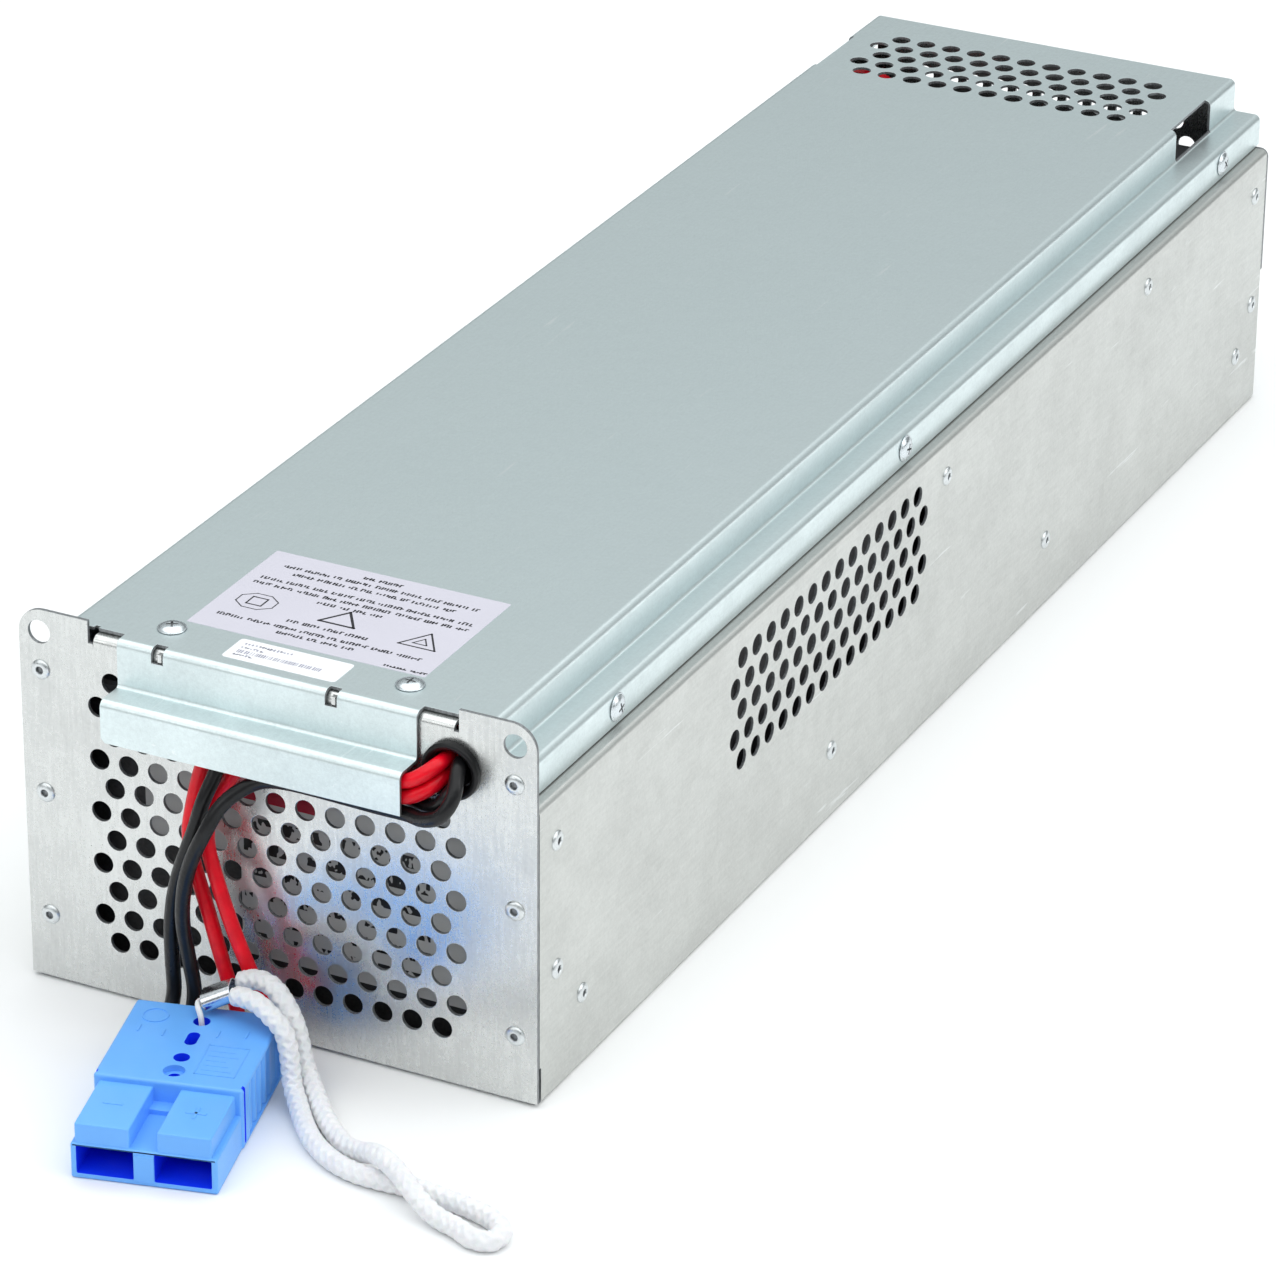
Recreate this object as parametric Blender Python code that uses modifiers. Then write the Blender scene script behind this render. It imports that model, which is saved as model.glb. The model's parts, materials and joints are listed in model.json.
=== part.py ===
"""Slide-in battery pack for a rack power supply.

A folded steel case holds eight 12 V blocks in a row. The front plate has two screw ears and a
perforated field; the cover is a hat section whose front edge folds down into the pull handle.
The battery lead leaves through a grommet, passes behind the handle lip and ends in a two-pole
connector with a rope pull.

Metres, +Z up. The front plate faces -Y, the origin is the middle of the case's underside, and
z = 0 is the surface that it stands on.
"""
import math

import bmesh
import bpy
from mathutils import Matrix, Vector

MM = 0.001

# ---------------------------------------------------------------- driving dimensions
CASE_W = 165.0 * MM            # across the side panels
CASE_L = 549.0 * MM            # front plate to rear plate, outside
EAR_Z = 119.7 * MM             # top of the screw ears
TOP_Z = 116.4 * MM             # top of the cover
LEDGE_Z = 105.0 * MM           # cover ledge, top surface
STEP_Z = 93.8 * MM             # step of the side panels, top surface
HAT_HALF = 68.4 * MM           # hat wall, outside
SKIRT_HALF = 78.2 * MM         # cover skirt, outside
PLATE_T = 1.2 * MM             # front and rear plates
SHEET_T = 1.0 * MM             # every other sheet
GAP = 0.3 * MM                 # clearance kept between neighbours
BEND_R = 1.7 * MM              # bend radius, at mid-thickness

# perforation: round holes on a staggered pitch
HOLE_R = 3.2 * MM
PITCH = 9.525 * MM
ROW_PITCH = 8.33 * MM
HOLE_SIDES = 6
FRONT_ROW_Z = 18.2 * MM        # lowest row of the front field
SIDE_VENT_Y = 191.5 * MM
SIDE_VENT_Z = 66.8 * MM
TOP_VENT = (-2.3 * MM, 514.6 * MM)
REAR_VENT_Z = 90.0 * MM

EAR_HOLE = (75.75 * MM, 112.6 * MM)
EAR_HOLE_R = 3.6 * MM
EAR_IN = (-59.6 * MM, 58.4 * MM)       # inner ends of the two ears
FOLD_IN = (-58.0 * MM, 56.9 * MM)      # ends of the folded top edge
GROMMET = (56.5 * MM, 101.0 * MM)

# handle, folded from the cover's front edge
HANDLE_X = (-49.5 * MM, 46.0 * MM)
FLAP_Y = -0.8 * MM             # mid-thickness of the vertical face
SHELF_Z = 101.5 * MM           # mid-thickness of the shelf
LIP_Y = -10.8 * MM             # mid-thickness of the lip
LIP_Z = 89.0 * MM              # lower edge of the lip
HOOK_X = (-36.4 * MM, 19.1 * MM)
HOOK_SLOT_W = 3.7 * MM

TOP_SCREW_X = (-39.6 * MM, 36.5 * MM)  # they pull the cover onto the front plate
TOP_SCREW_Y = 12.6 * MM
SKIRT_SCREW_Y = (56.5 * MM, 252.0 * MM, 515.0 * MM)
SKIRT_SCREW_Z = 99.6 * MM
CABLE_SLOT_Y = (496.0 * MM, 527.0 * MM)

# battery blocks
BLOCKS = 8
BLOCK_X = 150.8 * MM
BLOCK_Y = 65.0 * MM
BLOCK_PITCH = 65.4 * MM
BLOCK_Z0 = 2.8 * MM
CASE_H = 87.0 * MM
LID_H = 6.7 * MM
FIRST_BLOCK_Y = 9.0 * MM
TAB_X = -63.0 * MM
TAB_DY = 19.0 * MM
TAB_TOP = 102.8 * MM

# cables and connector
CABLE_R = 2.2 * MM
CONNECTOR_AT = (6.1 * MM, -85.5 * MM)
CONNECTOR_TURN = math.radians(14.3)
ROPE_R = 2.85 * MM
CORD_R = 0.7 * MM

# ---------------------------------------------------------------- scene and materials
for old in list(bpy.data.objects):
    bpy.data.objects.remove(old, do_unlink=True)

PARTS = bpy.data.collections.new("slide_in_battery_pack")
TOOLS = bpy.data.collections.new("cutters")
bpy.context.scene.collection.children.link(PARTS)
bpy.context.scene.collection.children.link(TOOLS)

# every length below is measured from the front plate; this empty centres the case on the origin
PACK = bpy.data.objects.new("pack_frame", None)
PARTS.objects.link(PACK)
PACK.location = (0.0, -(CASE_L + GAP + SHEET_T + LIP_Y - SHEET_T / 2) / 2, 0.0)


def material(name, colour, roughness, metallic=0.0):
    mat = bpy.data.materials.new(name)
    mat.use_nodes = True
    shader = mat.node_tree.nodes["Principled BSDF"]
    shader.inputs["Base Color"].default_value = (*colour, 1.0)
    shader.inputs["Roughness"].default_value = roughness
    shader.inputs["Metallic"].default_value = metallic
    return mat


ZINC = material("galvanised steel", (0.62, 0.66, 0.67), 0.38, 0.9)
SCREW_STEEL = material("screw steel", (0.70, 0.72, 0.73), 0.28, 1.0)
RUBBER = material("rubber", (0.02, 0.02, 0.02), 0.6)
CASE_GREY = material("block case", (0.22, 0.22, 0.23), 0.55)
LID_GREY = material("block lid", (0.16, 0.16, 0.17), 0.5)
FOAM = material("foam", (0.06, 0.06, 0.06), 0.95)
RED = material("red insulation", (0.72, 0.01, 0.02), 0.35)
BLACK = material("black insulation", (0.012, 0.012, 0.012), 0.35)
BLUE = material("connector blue", (0.13, 0.42, 0.85), 0.4)
SILVER = material("silvered contact", (0.85, 0.85, 0.84), 0.25, 1.0)
ROPE = material("white rope", (0.86, 0.86, 0.88), 0.9)


# ---------------------------------------------------------------- modelling helpers
def add(name, mesh, mat=None, parent=None):
    """A part if it has a material, otherwise a hidden tool for a Boolean."""
    obj = bpy.data.objects.new(name, mesh)
    if mat is None:
        TOOLS.objects.link(obj)
        obj.hide_render = True
        obj.display_type = "WIRE"
    else:
        PARTS.objects.link(obj)
        mesh.materials.clear()
        mesh.materials.append(mat)
    obj.parent = parent or PACK
    return obj


def smooth(obj, degrees=35.0):
    obj.data.shade_smooth()
    obj.data.set_sharp_from_angle(angle=math.radians(degrees))
    return obj


def box(name, low, high, mat=None, parent=None, bevel=0.0, segments=2):
    """A box between two corners, with optional rounded edges."""
    size = [b - a for a, b in zip(low, high)]
    middle = [(a + b) / 2 for a, b in zip(low, high)]
    bpy.ops.mesh.primitive_cube_add(size=1.0)
    seed = bpy.context.object
    mesh = seed.data
    bpy.data.objects.remove(seed, do_unlink=True)
    mesh.transform(Matrix.Diagonal((*size, 1.0)))
    obj = add(name, mesh, mat, parent)
    obj.location = middle
    if bevel:
        edge = obj.modifiers.new("rounded edges", "BEVEL")
        edge.width = bevel
        edge.segments = segments
    return obj


def prisms(name, places, radius, depth, axis, sides, mat=None, parent=None):
    """Equal upright prisms in one mesh, centred on each place, along the named axis."""
    turn = {
        "X": Matrix.Rotation(math.pi / 2, 4, "Y"),
        "Y": Matrix.Rotation(math.pi / 2, 4, "X"),
        "Z": Matrix.Identity(4),
    }[axis]
    bm = bmesh.new()
    for place in places:
        bmesh.ops.create_cone(
            bm,
            cap_ends=True,
            segments=sides,
            radius1=radius,
            radius2=radius,
            depth=depth,
            matrix=Matrix.Translation(place) @ turn,
        )
    mesh = bpy.data.meshes.new(name)
    bm.to_mesh(mesh)
    bm.free()
    return add(name, mesh, mat, parent)


def cut(obj, tool):
    """Cut the tool out of the object."""
    step = obj.modifiers.new("cut " + tool.name, "BOOLEAN")
    step.operation = "DIFFERENCE"
    step.object = tool


def join(obj, tool):
    """Add the tool to the object as one body."""
    step = obj.modifiers.new("join " + tool.name, "BOOLEAN")
    step.operation = "UNION"
    step.object = tool


def arc(centre, radius, start, end, steps):
    """Points on an arc, angles in degrees."""
    points = []
    for i in range(steps + 1):
        angle = math.radians(start + (end - start) * i / steps)
        points.append((centre[0] + radius * math.cos(angle), centre[1] + radius * math.sin(angle)))
    return points


def bent(path, radius, steps=3):
    """An open path in a plane with its inner corners rounded."""
    points = [Vector(path[0])]
    for before, corner, after in zip(path, path[1:], path[2:]):
        corner = Vector(corner)
        back = (Vector(before) - corner).normalized()
        ahead = (Vector(after) - corner).normalized()
        half = back.angle(ahead) / 2
        centre = corner + (back + ahead).normalized() * radius / math.sin(half)
        first = corner + back * radius / math.tan(half) - centre
        last = corner + ahead * radius / math.tan(half) - centre
        sweep = first.angle_signed(last)
        for i in range(steps + 1):
            turned = first.copy()
            turned.rotate(Matrix.Rotation(-sweep * i / steps, 2))
            points.append(centre + turned)
    points.append(Vector(path[-1]))
    return points


def folded(name, path, axis, low, high, thickness, mat=None, radius=BEND_R):
    """A folded sheet: a mid-thickness path swept along X or Y, then given its thickness."""
    bm = bmesh.new()
    rows = []
    for along in (low, high):
        row = []
        for u, w in bent(path, radius):
            place = (u, along, w) if axis == "Y" else (along, u, w)
            row.append(bm.verts.new(place))
        rows.append(row)
    for a, b, c, d in zip(rows[0], rows[0][1:], rows[1][1:], rows[1]):
        bm.faces.new((a, b, c, d))
    bmesh.ops.recalc_face_normals(bm, faces=bm.faces)
    mesh = bpy.data.meshes.new(name)
    bm.to_mesh(mesh)
    bm.free()
    obj = add(name, mesh, mat)
    shell = obj.modifiers.new("thickness", "SOLIDIFY")
    shell.thickness = thickness
    shell.offset = 0.0
    shell.use_even_offset = True
    return obj


def flat_plate(name, outline, y_low, y_high, mat=None):
    """An upright plate with the given outline in X and Z."""
    curve = bpy.data.curves.new(name, "CURVE")
    curve.dimensions = "2D"
    curve.fill_mode = "BOTH"
    curve.extrude = (y_high - y_low) / 2
    spline = curve.splines.new("POLY")
    spline.points.add(len(outline) - 1)
    for point, (x, z) in zip(spline.points, outline):
        point.co = (x, z, 0.0, 1.0)
    spline.use_cyclic_u = True
    stand = Matrix.Translation((0.0, (y_low + y_high) / 2, 0.0)) @ Matrix.Rotation(math.pi / 2, 4, "X")
    return add(name, solid_from_curve(curve, stand), mat)


def solid_from_curve(curve, place):
    """The closed mesh of a curve, moved to its place."""
    guide = bpy.data.objects.new("guide", curve)
    TOOLS.objects.link(guide)
    graph = bpy.context.evaluated_depsgraph_get()
    mesh = bpy.data.meshes.new_from_object(guide.evaluated_get(graph))
    bpy.data.objects.remove(guide, do_unlink=True)
    bpy.data.curves.remove(curve)
    bm = bmesh.new()
    bm.from_mesh(mesh)
    bmesh.ops.remove_doubles(bm, verts=bm.verts, dist=0.00001)
    bmesh.ops.dissolve_limit(bm, angle_limit=math.radians(0.1), verts=bm.verts, edges=bm.edges)
    bmesh.ops.transform(bm, matrix=place, verts=bm.verts)
    bmesh.ops.recalc_face_normals(bm, faces=bm.faces)
    bm.to_mesh(mesh)
    bm.free()
    return mesh


def turned(name, profile, steps, mat, closed=False):
    """A turned piece about its own Z axis, from a profile of (radius, height)."""
    bm = bmesh.new()
    verts = [bm.verts.new((r, 0.0, h)) for r, h in profile]
    for a, b in zip(verts, verts[1:]):
        bm.edges.new((a, b))
    if closed:
        bm.edges.new((verts[-1], verts[0]))
    mesh = bpy.data.meshes.new(name)
    bm.to_mesh(mesh)
    bm.free()
    obj = add(name, mesh, mat)
    spin = obj.modifiers.new("turn", "SCREW")
    spin.steps = steps
    spin.render_steps = steps
    spin.use_merge_vertices = True
    spin.merge_threshold = 0.00001
    spin.use_smooth_shade = True
    return obj


def through(route, step):
    """Evenly spaced points on a smooth curve through the route (centripetal Catmull-Rom)."""
    pts = [Vector(p) * MM for p in route]
    pts = [pts[0] * 2 - pts[1]] + pts + [pts[-1] * 2 - pts[-2]]
    fine = []
    for p0, p1, p2, p3 in zip(pts, pts[1:], pts[2:], pts[3:]):
        t1 = (p1 - p0).length ** 0.5
        t2 = t1 + (p2 - p1).length ** 0.5
        t3 = t2 + (p3 - p2).length ** 0.5
        for i in range(16):
            t = t1 + (t2 - t1) * i / 16
            a1 = p0.lerp(p1, t / t1)
            a2 = p1.lerp(p2, (t - t1) / (t2 - t1))
            a3 = p2.lerp(p3, (t - t2) / (t3 - t2))
            b1 = a1.lerp(a2, t / t2)
            b2 = a2.lerp(a3, (t - t1) / (t3 - t1))
            fine.append(b1.lerp(b2, (t - t1) / (t2 - t1)))
    fine.append(pts[-2])
    lengths = [0.0]
    for a, b in zip(fine, fine[1:]):
        lengths.append(lengths[-1] + (b - a).length)
    count = max(2, round(lengths[-1] / step))
    places = []
    k = 0
    for i in range(count + 1):
        want = lengths[-1] * i / count
        while k < len(fine) - 2 and lengths[k + 1] < want:
            k += 1
        part = (want - lengths[k]) / max(lengths[k + 1] - lengths[k], 1e-9)
        places.append(fine[k].lerp(fine[k + 1], min(part, 1.0)))
    return places


def without_straights(places):
    """Leave out the points along a straight stretch."""
    kept = [places[0]]
    for here, ahead in zip(places[1:], places[2:]):
        if (here - kept[-1]).angle(ahead - here) > math.radians(1.5):
            kept.append(here)
    return kept + [places[-1]]


def cord(name, route, radius, mat, step, held=False):
    """A round cord along a route in millimetres. A held cord needs no points on its straights."""
    curve = bpy.data.curves.new(name, "CURVE")
    curve.dimensions = "3D"
    curve.bevel_depth = radius
    curve.bevel_resolution = 2
    curve.use_fill_caps = True
    places = through(route, step)
    if held:
        places = without_straights(places)
    spline = curve.splines.new("POLY")
    spline.points.add(len(places) - 1)
    for point, place in zip(spline.points, places):
        point.co = (*place, 1.0)
    curve.materials.append(mat)
    obj = bpy.data.objects.new(name, curve)
    PARTS.objects.link(obj)
    obj.parent = PACK
    return obj


def staggered(rows, wide, middle, up):
    """Centres of a staggered field: odd rows have one hole more than even rows."""
    places = []
    for r in range(rows):
        count = wide if r % 2 else wide - 1
        for i in range(count):
            places.append((middle + (i - (count - 1) / 2) * PITCH, up + (r - (rows - 1) / 2) * ROW_PITCH))
    return places


# ---------------------------------------------------------------- front plate
def build_front_plate():
    half = CASE_W / 2
    ear_r = 8.0 * MM
    fold_z = TOP_Z - SHEET_T - GAP          # top face of the folded edge, under the cover
    outline = [(-half, 1.2 * MM), (half, 1.2 * MM)]
    outline += arc((half - ear_r, EAR_Z - ear_r), ear_r, 0, 90, 5)
    outline += [(EAR_IN[1], EAR_Z), (EAR_IN[1], fold_z - 2.3 * MM)]
    outline += [(EAR_IN[0], fold_z - 2.3 * MM), (EAR_IN[0], EAR_Z)]
    outline += arc((ear_r - half, EAR_Z - ear_r), ear_r, 90, 180, 5)
    plate = flat_plate("front_plate", outline, 0.0, PLATE_T, ZINC)
    mid = PLATE_T / 2
    top = [(mid, fold_z - 4.0 * MM), (mid, fold_z - mid), (20.0 * MM, fold_z - mid)]
    join(plate, folded("front_top_fold", top, "X", *FOLD_IN, PLATE_T))
    foot = [(mid, 6.0 * MM), (mid, mid), (14.0 * MM, mid)]
    join(plate, folded("front_foot_fold", foot, "X", -71.0 * MM, 71.0 * MM, PLATE_T))
    for n, x in enumerate(HOOK_X):
        low = (x - 0.2 * MM, -0.8 * MM, fold_z - 2.8 * MM)
        high = (x + 1.2 * MM, 1.0 * MM, fold_z - 0.4 * MM)
        join(plate, box(f"hook_tab_{n + 1}", low, high))

    holes = []
    for x, z in staggered(11, 13, 0.0, FRONT_ROW_Z + 5 * ROW_PITCH):
        under_flap = z > SHELF_Z - 4.0 * MM and x > HANDLE_X[0]
        by_grommet = math.hypot(x - GROMMET[0], z - GROMMET[1]) < 12.5 * MM
        if not under_flap and not by_grommet:
            holes.append((x, mid, z))
    cut(plate, prisms("front_perforation", holes, HOLE_R, 6 * MM, "Y", HOLE_SIDES))
    ears = [(-EAR_HOLE[0], mid, EAR_HOLE[1]), (EAR_HOLE[0], mid, EAR_HOLE[1])]
    cut(plate, prisms("ear_holes", ears, EAR_HOLE_R, 6 * MM, "Y", 16))
    cut(plate, prisms("grommet_hole", [(GROMMET[0], mid, GROMMET[1])], 7.65 * MM, 6 * MM, "Y", 20))
    screws = [(x, TOP_SCREW_Y, fold_z) for x in TOP_SCREW_X]
    cut(plate, prisms("fold_screw_holes", screws, 2.1 * MM, 6 * MM, "Z", 10))


# ---------------------------------------------------------------- rear plate
def build_rear_plate():
    half = CASE_W / 2
    y_out = CASE_L
    y_in = CASE_L - PLATE_T
    shoulder = 75.4 * MM
    neck = 66.4 * MM
    corner = 3.0 * MM
    outline = [(-half + SHEET_T, 0.0), (half - SHEET_T, 0.0)]
    outline += [(half - SHEET_T, 48.0 * MM), (half, 49.0 * MM)]
    outline += arc((half - corner, STEP_Z - corner), corner, 0, 90, 4)
    outline += [(shoulder, STEP_Z), (shoulder, LEDGE_Z - 1.4 * MM), (neck, LEDGE_Z - 1.4 * MM)]
    outline += [(neck, TOP_Z - 1.4 * MM), (-neck, TOP_Z - 1.4 * MM), (-neck, LEDGE_Z - 1.4 * MM)]
    outline += [(-shoulder, LEDGE_Z - 1.4 * MM), (-shoulder, STEP_Z)]
    outline += arc((corner - half, STEP_Z - corner), corner, 90, 180, 4)
    outline += [(-half, 49.0 * MM), (-half + SHEET_T, 48.0 * MM)]
    plate = flat_plate("rear_plate", outline, y_in, y_out, ZINC)
    mid = CASE_L - PLATE_T / 2
    foot = [(mid, 6.0 * MM), (mid, PLATE_T / 2), (mid - 14.0 * MM, PLATE_T / 2)]
    join(plate, folded("rear_foot_fold", foot, "X", -71.0 * MM, 71.0 * MM, PLATE_T))
    holes = [(x, mid, z) for x, z in staggered(3, 12, 0.0, REAR_VENT_Z)]
    cut(plate, prisms("rear_perforation", holes, HOLE_R, 6 * MM, "Y", HOLE_SIDES))


# ---------------------------------------------------------------- side panels
def build_side_panels():
    y_low = PLATE_T + GAP
    y_high = CASE_L - PLATE_T - GAP
    for side, name in ((1, "right"), (-1, "left")):
        outer = side * (CASE_W - SHEET_T) / 2
        strip = side * (SKIRT_HALF - SHEET_T * 1.5 - GAP)
        path = [
            (side * 72.0 * MM, SHEET_T / 2),
            (outer, SHEET_T / 2),
            (outer, STEP_Z - SHEET_T / 2),
            (strip, STEP_Z - SHEET_T / 2),
            (strip, LEDGE_Z - SHEET_T - 1.2 * MM),
        ]
        panel = folded(f"{name}_side_panel", path, "Y", y_low, y_high, SHEET_T, ZINC, radius=1.3 * MM)
        holes = [(outer, y, z) for y, z in staggered(5, 15, SIDE_VENT_Y, SIDE_VENT_Z)]
        cut(panel, prisms(f"{name}_perforation", holes, HOLE_R, 6 * MM, "X", HOLE_SIDES))
        screws = [(strip, y, SKIRT_SCREW_Z) for y in SKIRT_SCREW_Y]
        cut(panel, prisms(f"{name}_strip_screw_holes", screws, 2.1 * MM, 6 * MM, "X", 10))
        low = (min(outer, side * 90 * MM), 0.0, -2 * MM)
        high = (max(outer, side * 90 * MM), 2.4 * MM, 12 * MM)
        cut(panel, box(f"{name}_corner_relief", low, high))


# ---------------------------------------------------------------- floor tray, stiffeners, spacers
def build_tray():
    half = CASE_W / 2 - SHEET_T - GAP - SHEET_T / 2
    floor = 2.0 * MM
    y_low = PLATE_T + 1.3 * MM
    y_high = CASE_L - y_low
    path = [(-half, 31.0 * MM), (-half, floor), (half, floor), (half, 31.0 * MM)]
    folded("floor_tray", path, "Y", y_low, y_high, SHEET_T, ZINC)
    for side, name in ((1, "right"), (-1, "left")):
        for n, y in enumerate((275.4 * MM, 439.7 * MM)):
            a = side * (half - SHEET_T / 2)
            b = side * (half + SHEET_T / 2)
            low = (min(a, b), y - 8 * MM, 33.0 * MM)
            high = (max(a, b), y + 8 * MM, 91.0 * MM)
            box(f"{name}_stiffener_{n + 1}", low, high, ZINC)
        a = side * (BLOCK_X / 2 + 0.4 * MM)
        b = side * (half - SHEET_T / 2 - GAP)
        low = (min(a, b), FIRST_BLOCK_Y, 4.0 * MM)
        high = (max(a, b), FIRST_BLOCK_Y + BLOCKS * BLOCK_PITCH, 29.0 * MM)
        box(f"{name}_spacer", low, high, FOAM)
    y = FIRST_BLOCK_Y + BLOCKS * BLOCK_PITCH
    box("rear_pad", (-70 * MM, y + GAP, BLOCK_Z0), (70 * MM, CASE_L - PLATE_T - 0.6 * MM, 88 * MM), FOAM)


# ---------------------------------------------------------------- cover with its handle
def build_cover():
    skirt = SKIRT_HALF - SHEET_T / 2
    wall = HAT_HALF - SHEET_T / 2
    ledge = LEDGE_Z - SHEET_T / 2
    top = TOP_Z - SHEET_T / 2
    y_low = PLATE_T + GAP
    y_high = CASE_L + SHEET_T + GAP
    half = [(skirt, STEP_Z + 0.4 * MM), (skirt, ledge), (wall, ledge), (wall, top)]
    path = half + [(-x, z) for x, z in reversed(half)]
    cover = folded("top_cover", path, "Y", y_low, y_high, SHEET_T, ZINC)

    front_edge = 3.4 * MM
    low = (-66.0 * MM, 0.0, top - 3 * MM)
    high = (66.0 * MM, front_edge, top + 3 * MM)
    cut(cover, box("front_edge", low, high))
    start = front_edge + GAP
    fold = [(start, top), (FLAP_Y, top), (FLAP_Y, SHELF_Z), (LIP_Y, SHELF_Z), (LIP_Y, LIP_Z)]
    handle = folded("handle_fold", fold, "X", *HANDLE_X, SHEET_T, ZINC)
    for n, x in enumerate(HOOK_X):
        low = (x - HOOK_SLOT_W / 2, -4 * MM, 112.0 * MM)
        high = (x + HOOK_SLOT_W / 2, 2.2 * MM, 120.0 * MM)
        cut(handle, box(f"hook_slot_{n + 1}", low, high))
    low = (HANDLE_X[0] - 0.5 * MM, 0.0, top - 3 * MM)
    high = (HANDLE_X[1] + 0.5 * MM, start + GAP, top + 3 * MM)
    cut(cover, box("handle_seat", low, high))
    end = [(CASE_L - 6.0 * MM, top), (y_high - SHEET_T / 2, top), (y_high - SHEET_T / 2, 103.5 * MM)]
    join(cover, folded("rear_flange", end, "X", -65.5 * MM, 65.5 * MM, SHEET_T, radius=1.2 * MM))

    for side, name in ((1, "right"), (-1, "left")):
        a = side * 66.2 * MM
        b = side * 74.0 * MM
        low = (min(a, b), CABLE_SLOT_Y[0], LEDGE_Z + 0.2 * MM)
        high = (max(a, b), CABLE_SLOT_Y[1], 120.0 * MM)
        cut(cover, box(f"{name}_cable_slot", low, high))
        screws = [(side * skirt, y, SKIRT_SCREW_Z) for y in SKIRT_SCREW_Y]
        cut(cover, prisms(f"{name}_skirt_screw_holes", screws, 2.1 * MM, 6 * MM, "X", 10))
    screws = [(x, TOP_SCREW_Y, top) for x in TOP_SCREW_X]
    cut(cover, prisms("top_screw_holes", screws, 2.1 * MM, 6 * MM, "Z", 10))
    holes = [(x, y, top) for x, y in staggered(5, 12, *TOP_VENT)]
    cut(cover, prisms("top_perforation", holes, HOLE_R, 6 * MM, "Z", HOLE_SIDES))


def build_screws():
    """Pan-head screws; the shank ends clear of whatever is inside."""
    dome = arc((0.0, -4.2 * MM), 6.4 * MM, 72, 48, 2)
    profile = [(0.0, 2.2 * MM)] + dome
    profile += [(4.5 * MM, 0.25 * MM), (1.75 * MM, 0.25 * MM), (1.75 * MM, -5.0 * MM), (0.0, -5.0 * MM)]
    for n, x in enumerate(TOP_SCREW_X):
        screw = turned(f"top_screw_{n + 1}", profile, 12, SCREW_STEEL)
        screw.location = (x, TOP_SCREW_Y, TOP_Z)
    for side, name in ((1, "right"), (-1, "left")):
        for n, y in enumerate(SKIRT_SCREW_Y):
            screw = turned(f"{name}_skirt_screw_{n + 1}", profile, 12, SCREW_STEEL)
            screw.rotation_euler = (0.0, side * math.pi / 2, 0.0)
            screw.location = (side * SKIRT_HALF, y, SKIRT_SCREW_Z)


def build_grommet():
    """Rubber ring with a groove for the plate, turned about Z and laid along Y."""
    bore = 6.45 * MM
    outer = 8.75 * MM
    groove = 7.35 * MM
    front = 2.6 * MM
    profile = [(bore + 0.8 * MM, front)]
    profile += arc((outer - 0.9 * MM, front - 0.9 * MM), 0.9 * MM, 70, 0, 3)
    profile += [(outer, GAP), (groove, GAP), (groove, -PLATE_T - GAP), (8.5 * MM, -PLATE_T - GAP)]
    profile += [(8.2 * MM, -2.9 * MM), (bore, -2.9 * MM), (bore, front - 0.8 * MM)]
    ring = turned("grommet", profile, 20, RUBBER, closed=True)
    ring.rotation_euler = (math.pi / 2, 0.0, 0.0)
    ring.location = (GROMMET[0], 0.0, GROMMET[1])


# ---------------------------------------------------------------- battery blocks and their leads
def block_y(n):
    return FIRST_BLOCK_Y + (n - 0.5) * BLOCK_PITCH


def build_blocks():
    half_x = BLOCK_X / 2
    half_y = BLOCK_Y / 2
    lid_z = BLOCK_Z0 + CASE_H + GAP
    for n in range(1, BLOCKS + 1):
        y = block_y(n)
        top = BLOCK_Z0 + CASE_H
        box(
            f"block_case_{n}",
            (-half_x, y - half_y, BLOCK_Z0),
            (half_x, y + half_y, top),
            CASE_GREY,
            bevel=1.2 * MM,
            segments=1,
        )
        lid = box(
            f"block_lid_{n}",
            (-half_x, y - half_y, lid_z),
            (half_x, y + half_y, lid_z + LID_H),
            LID_GREY,
            bevel=1.0 * MM,
            segments=1,
        )
        for k, dy in enumerate((-TAB_DY, TAB_DY)):
            low = (TAB_X - 3.2 * MM, y + dy - 0.4 * MM, lid_z + LID_H - 1.0 * MM)
            high = (TAB_X + 3.2 * MM, y + dy + 0.4 * MM, TAB_TOP)
            join(lid, box(f"tab_{n}_{k + 1}", low, high))


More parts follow.
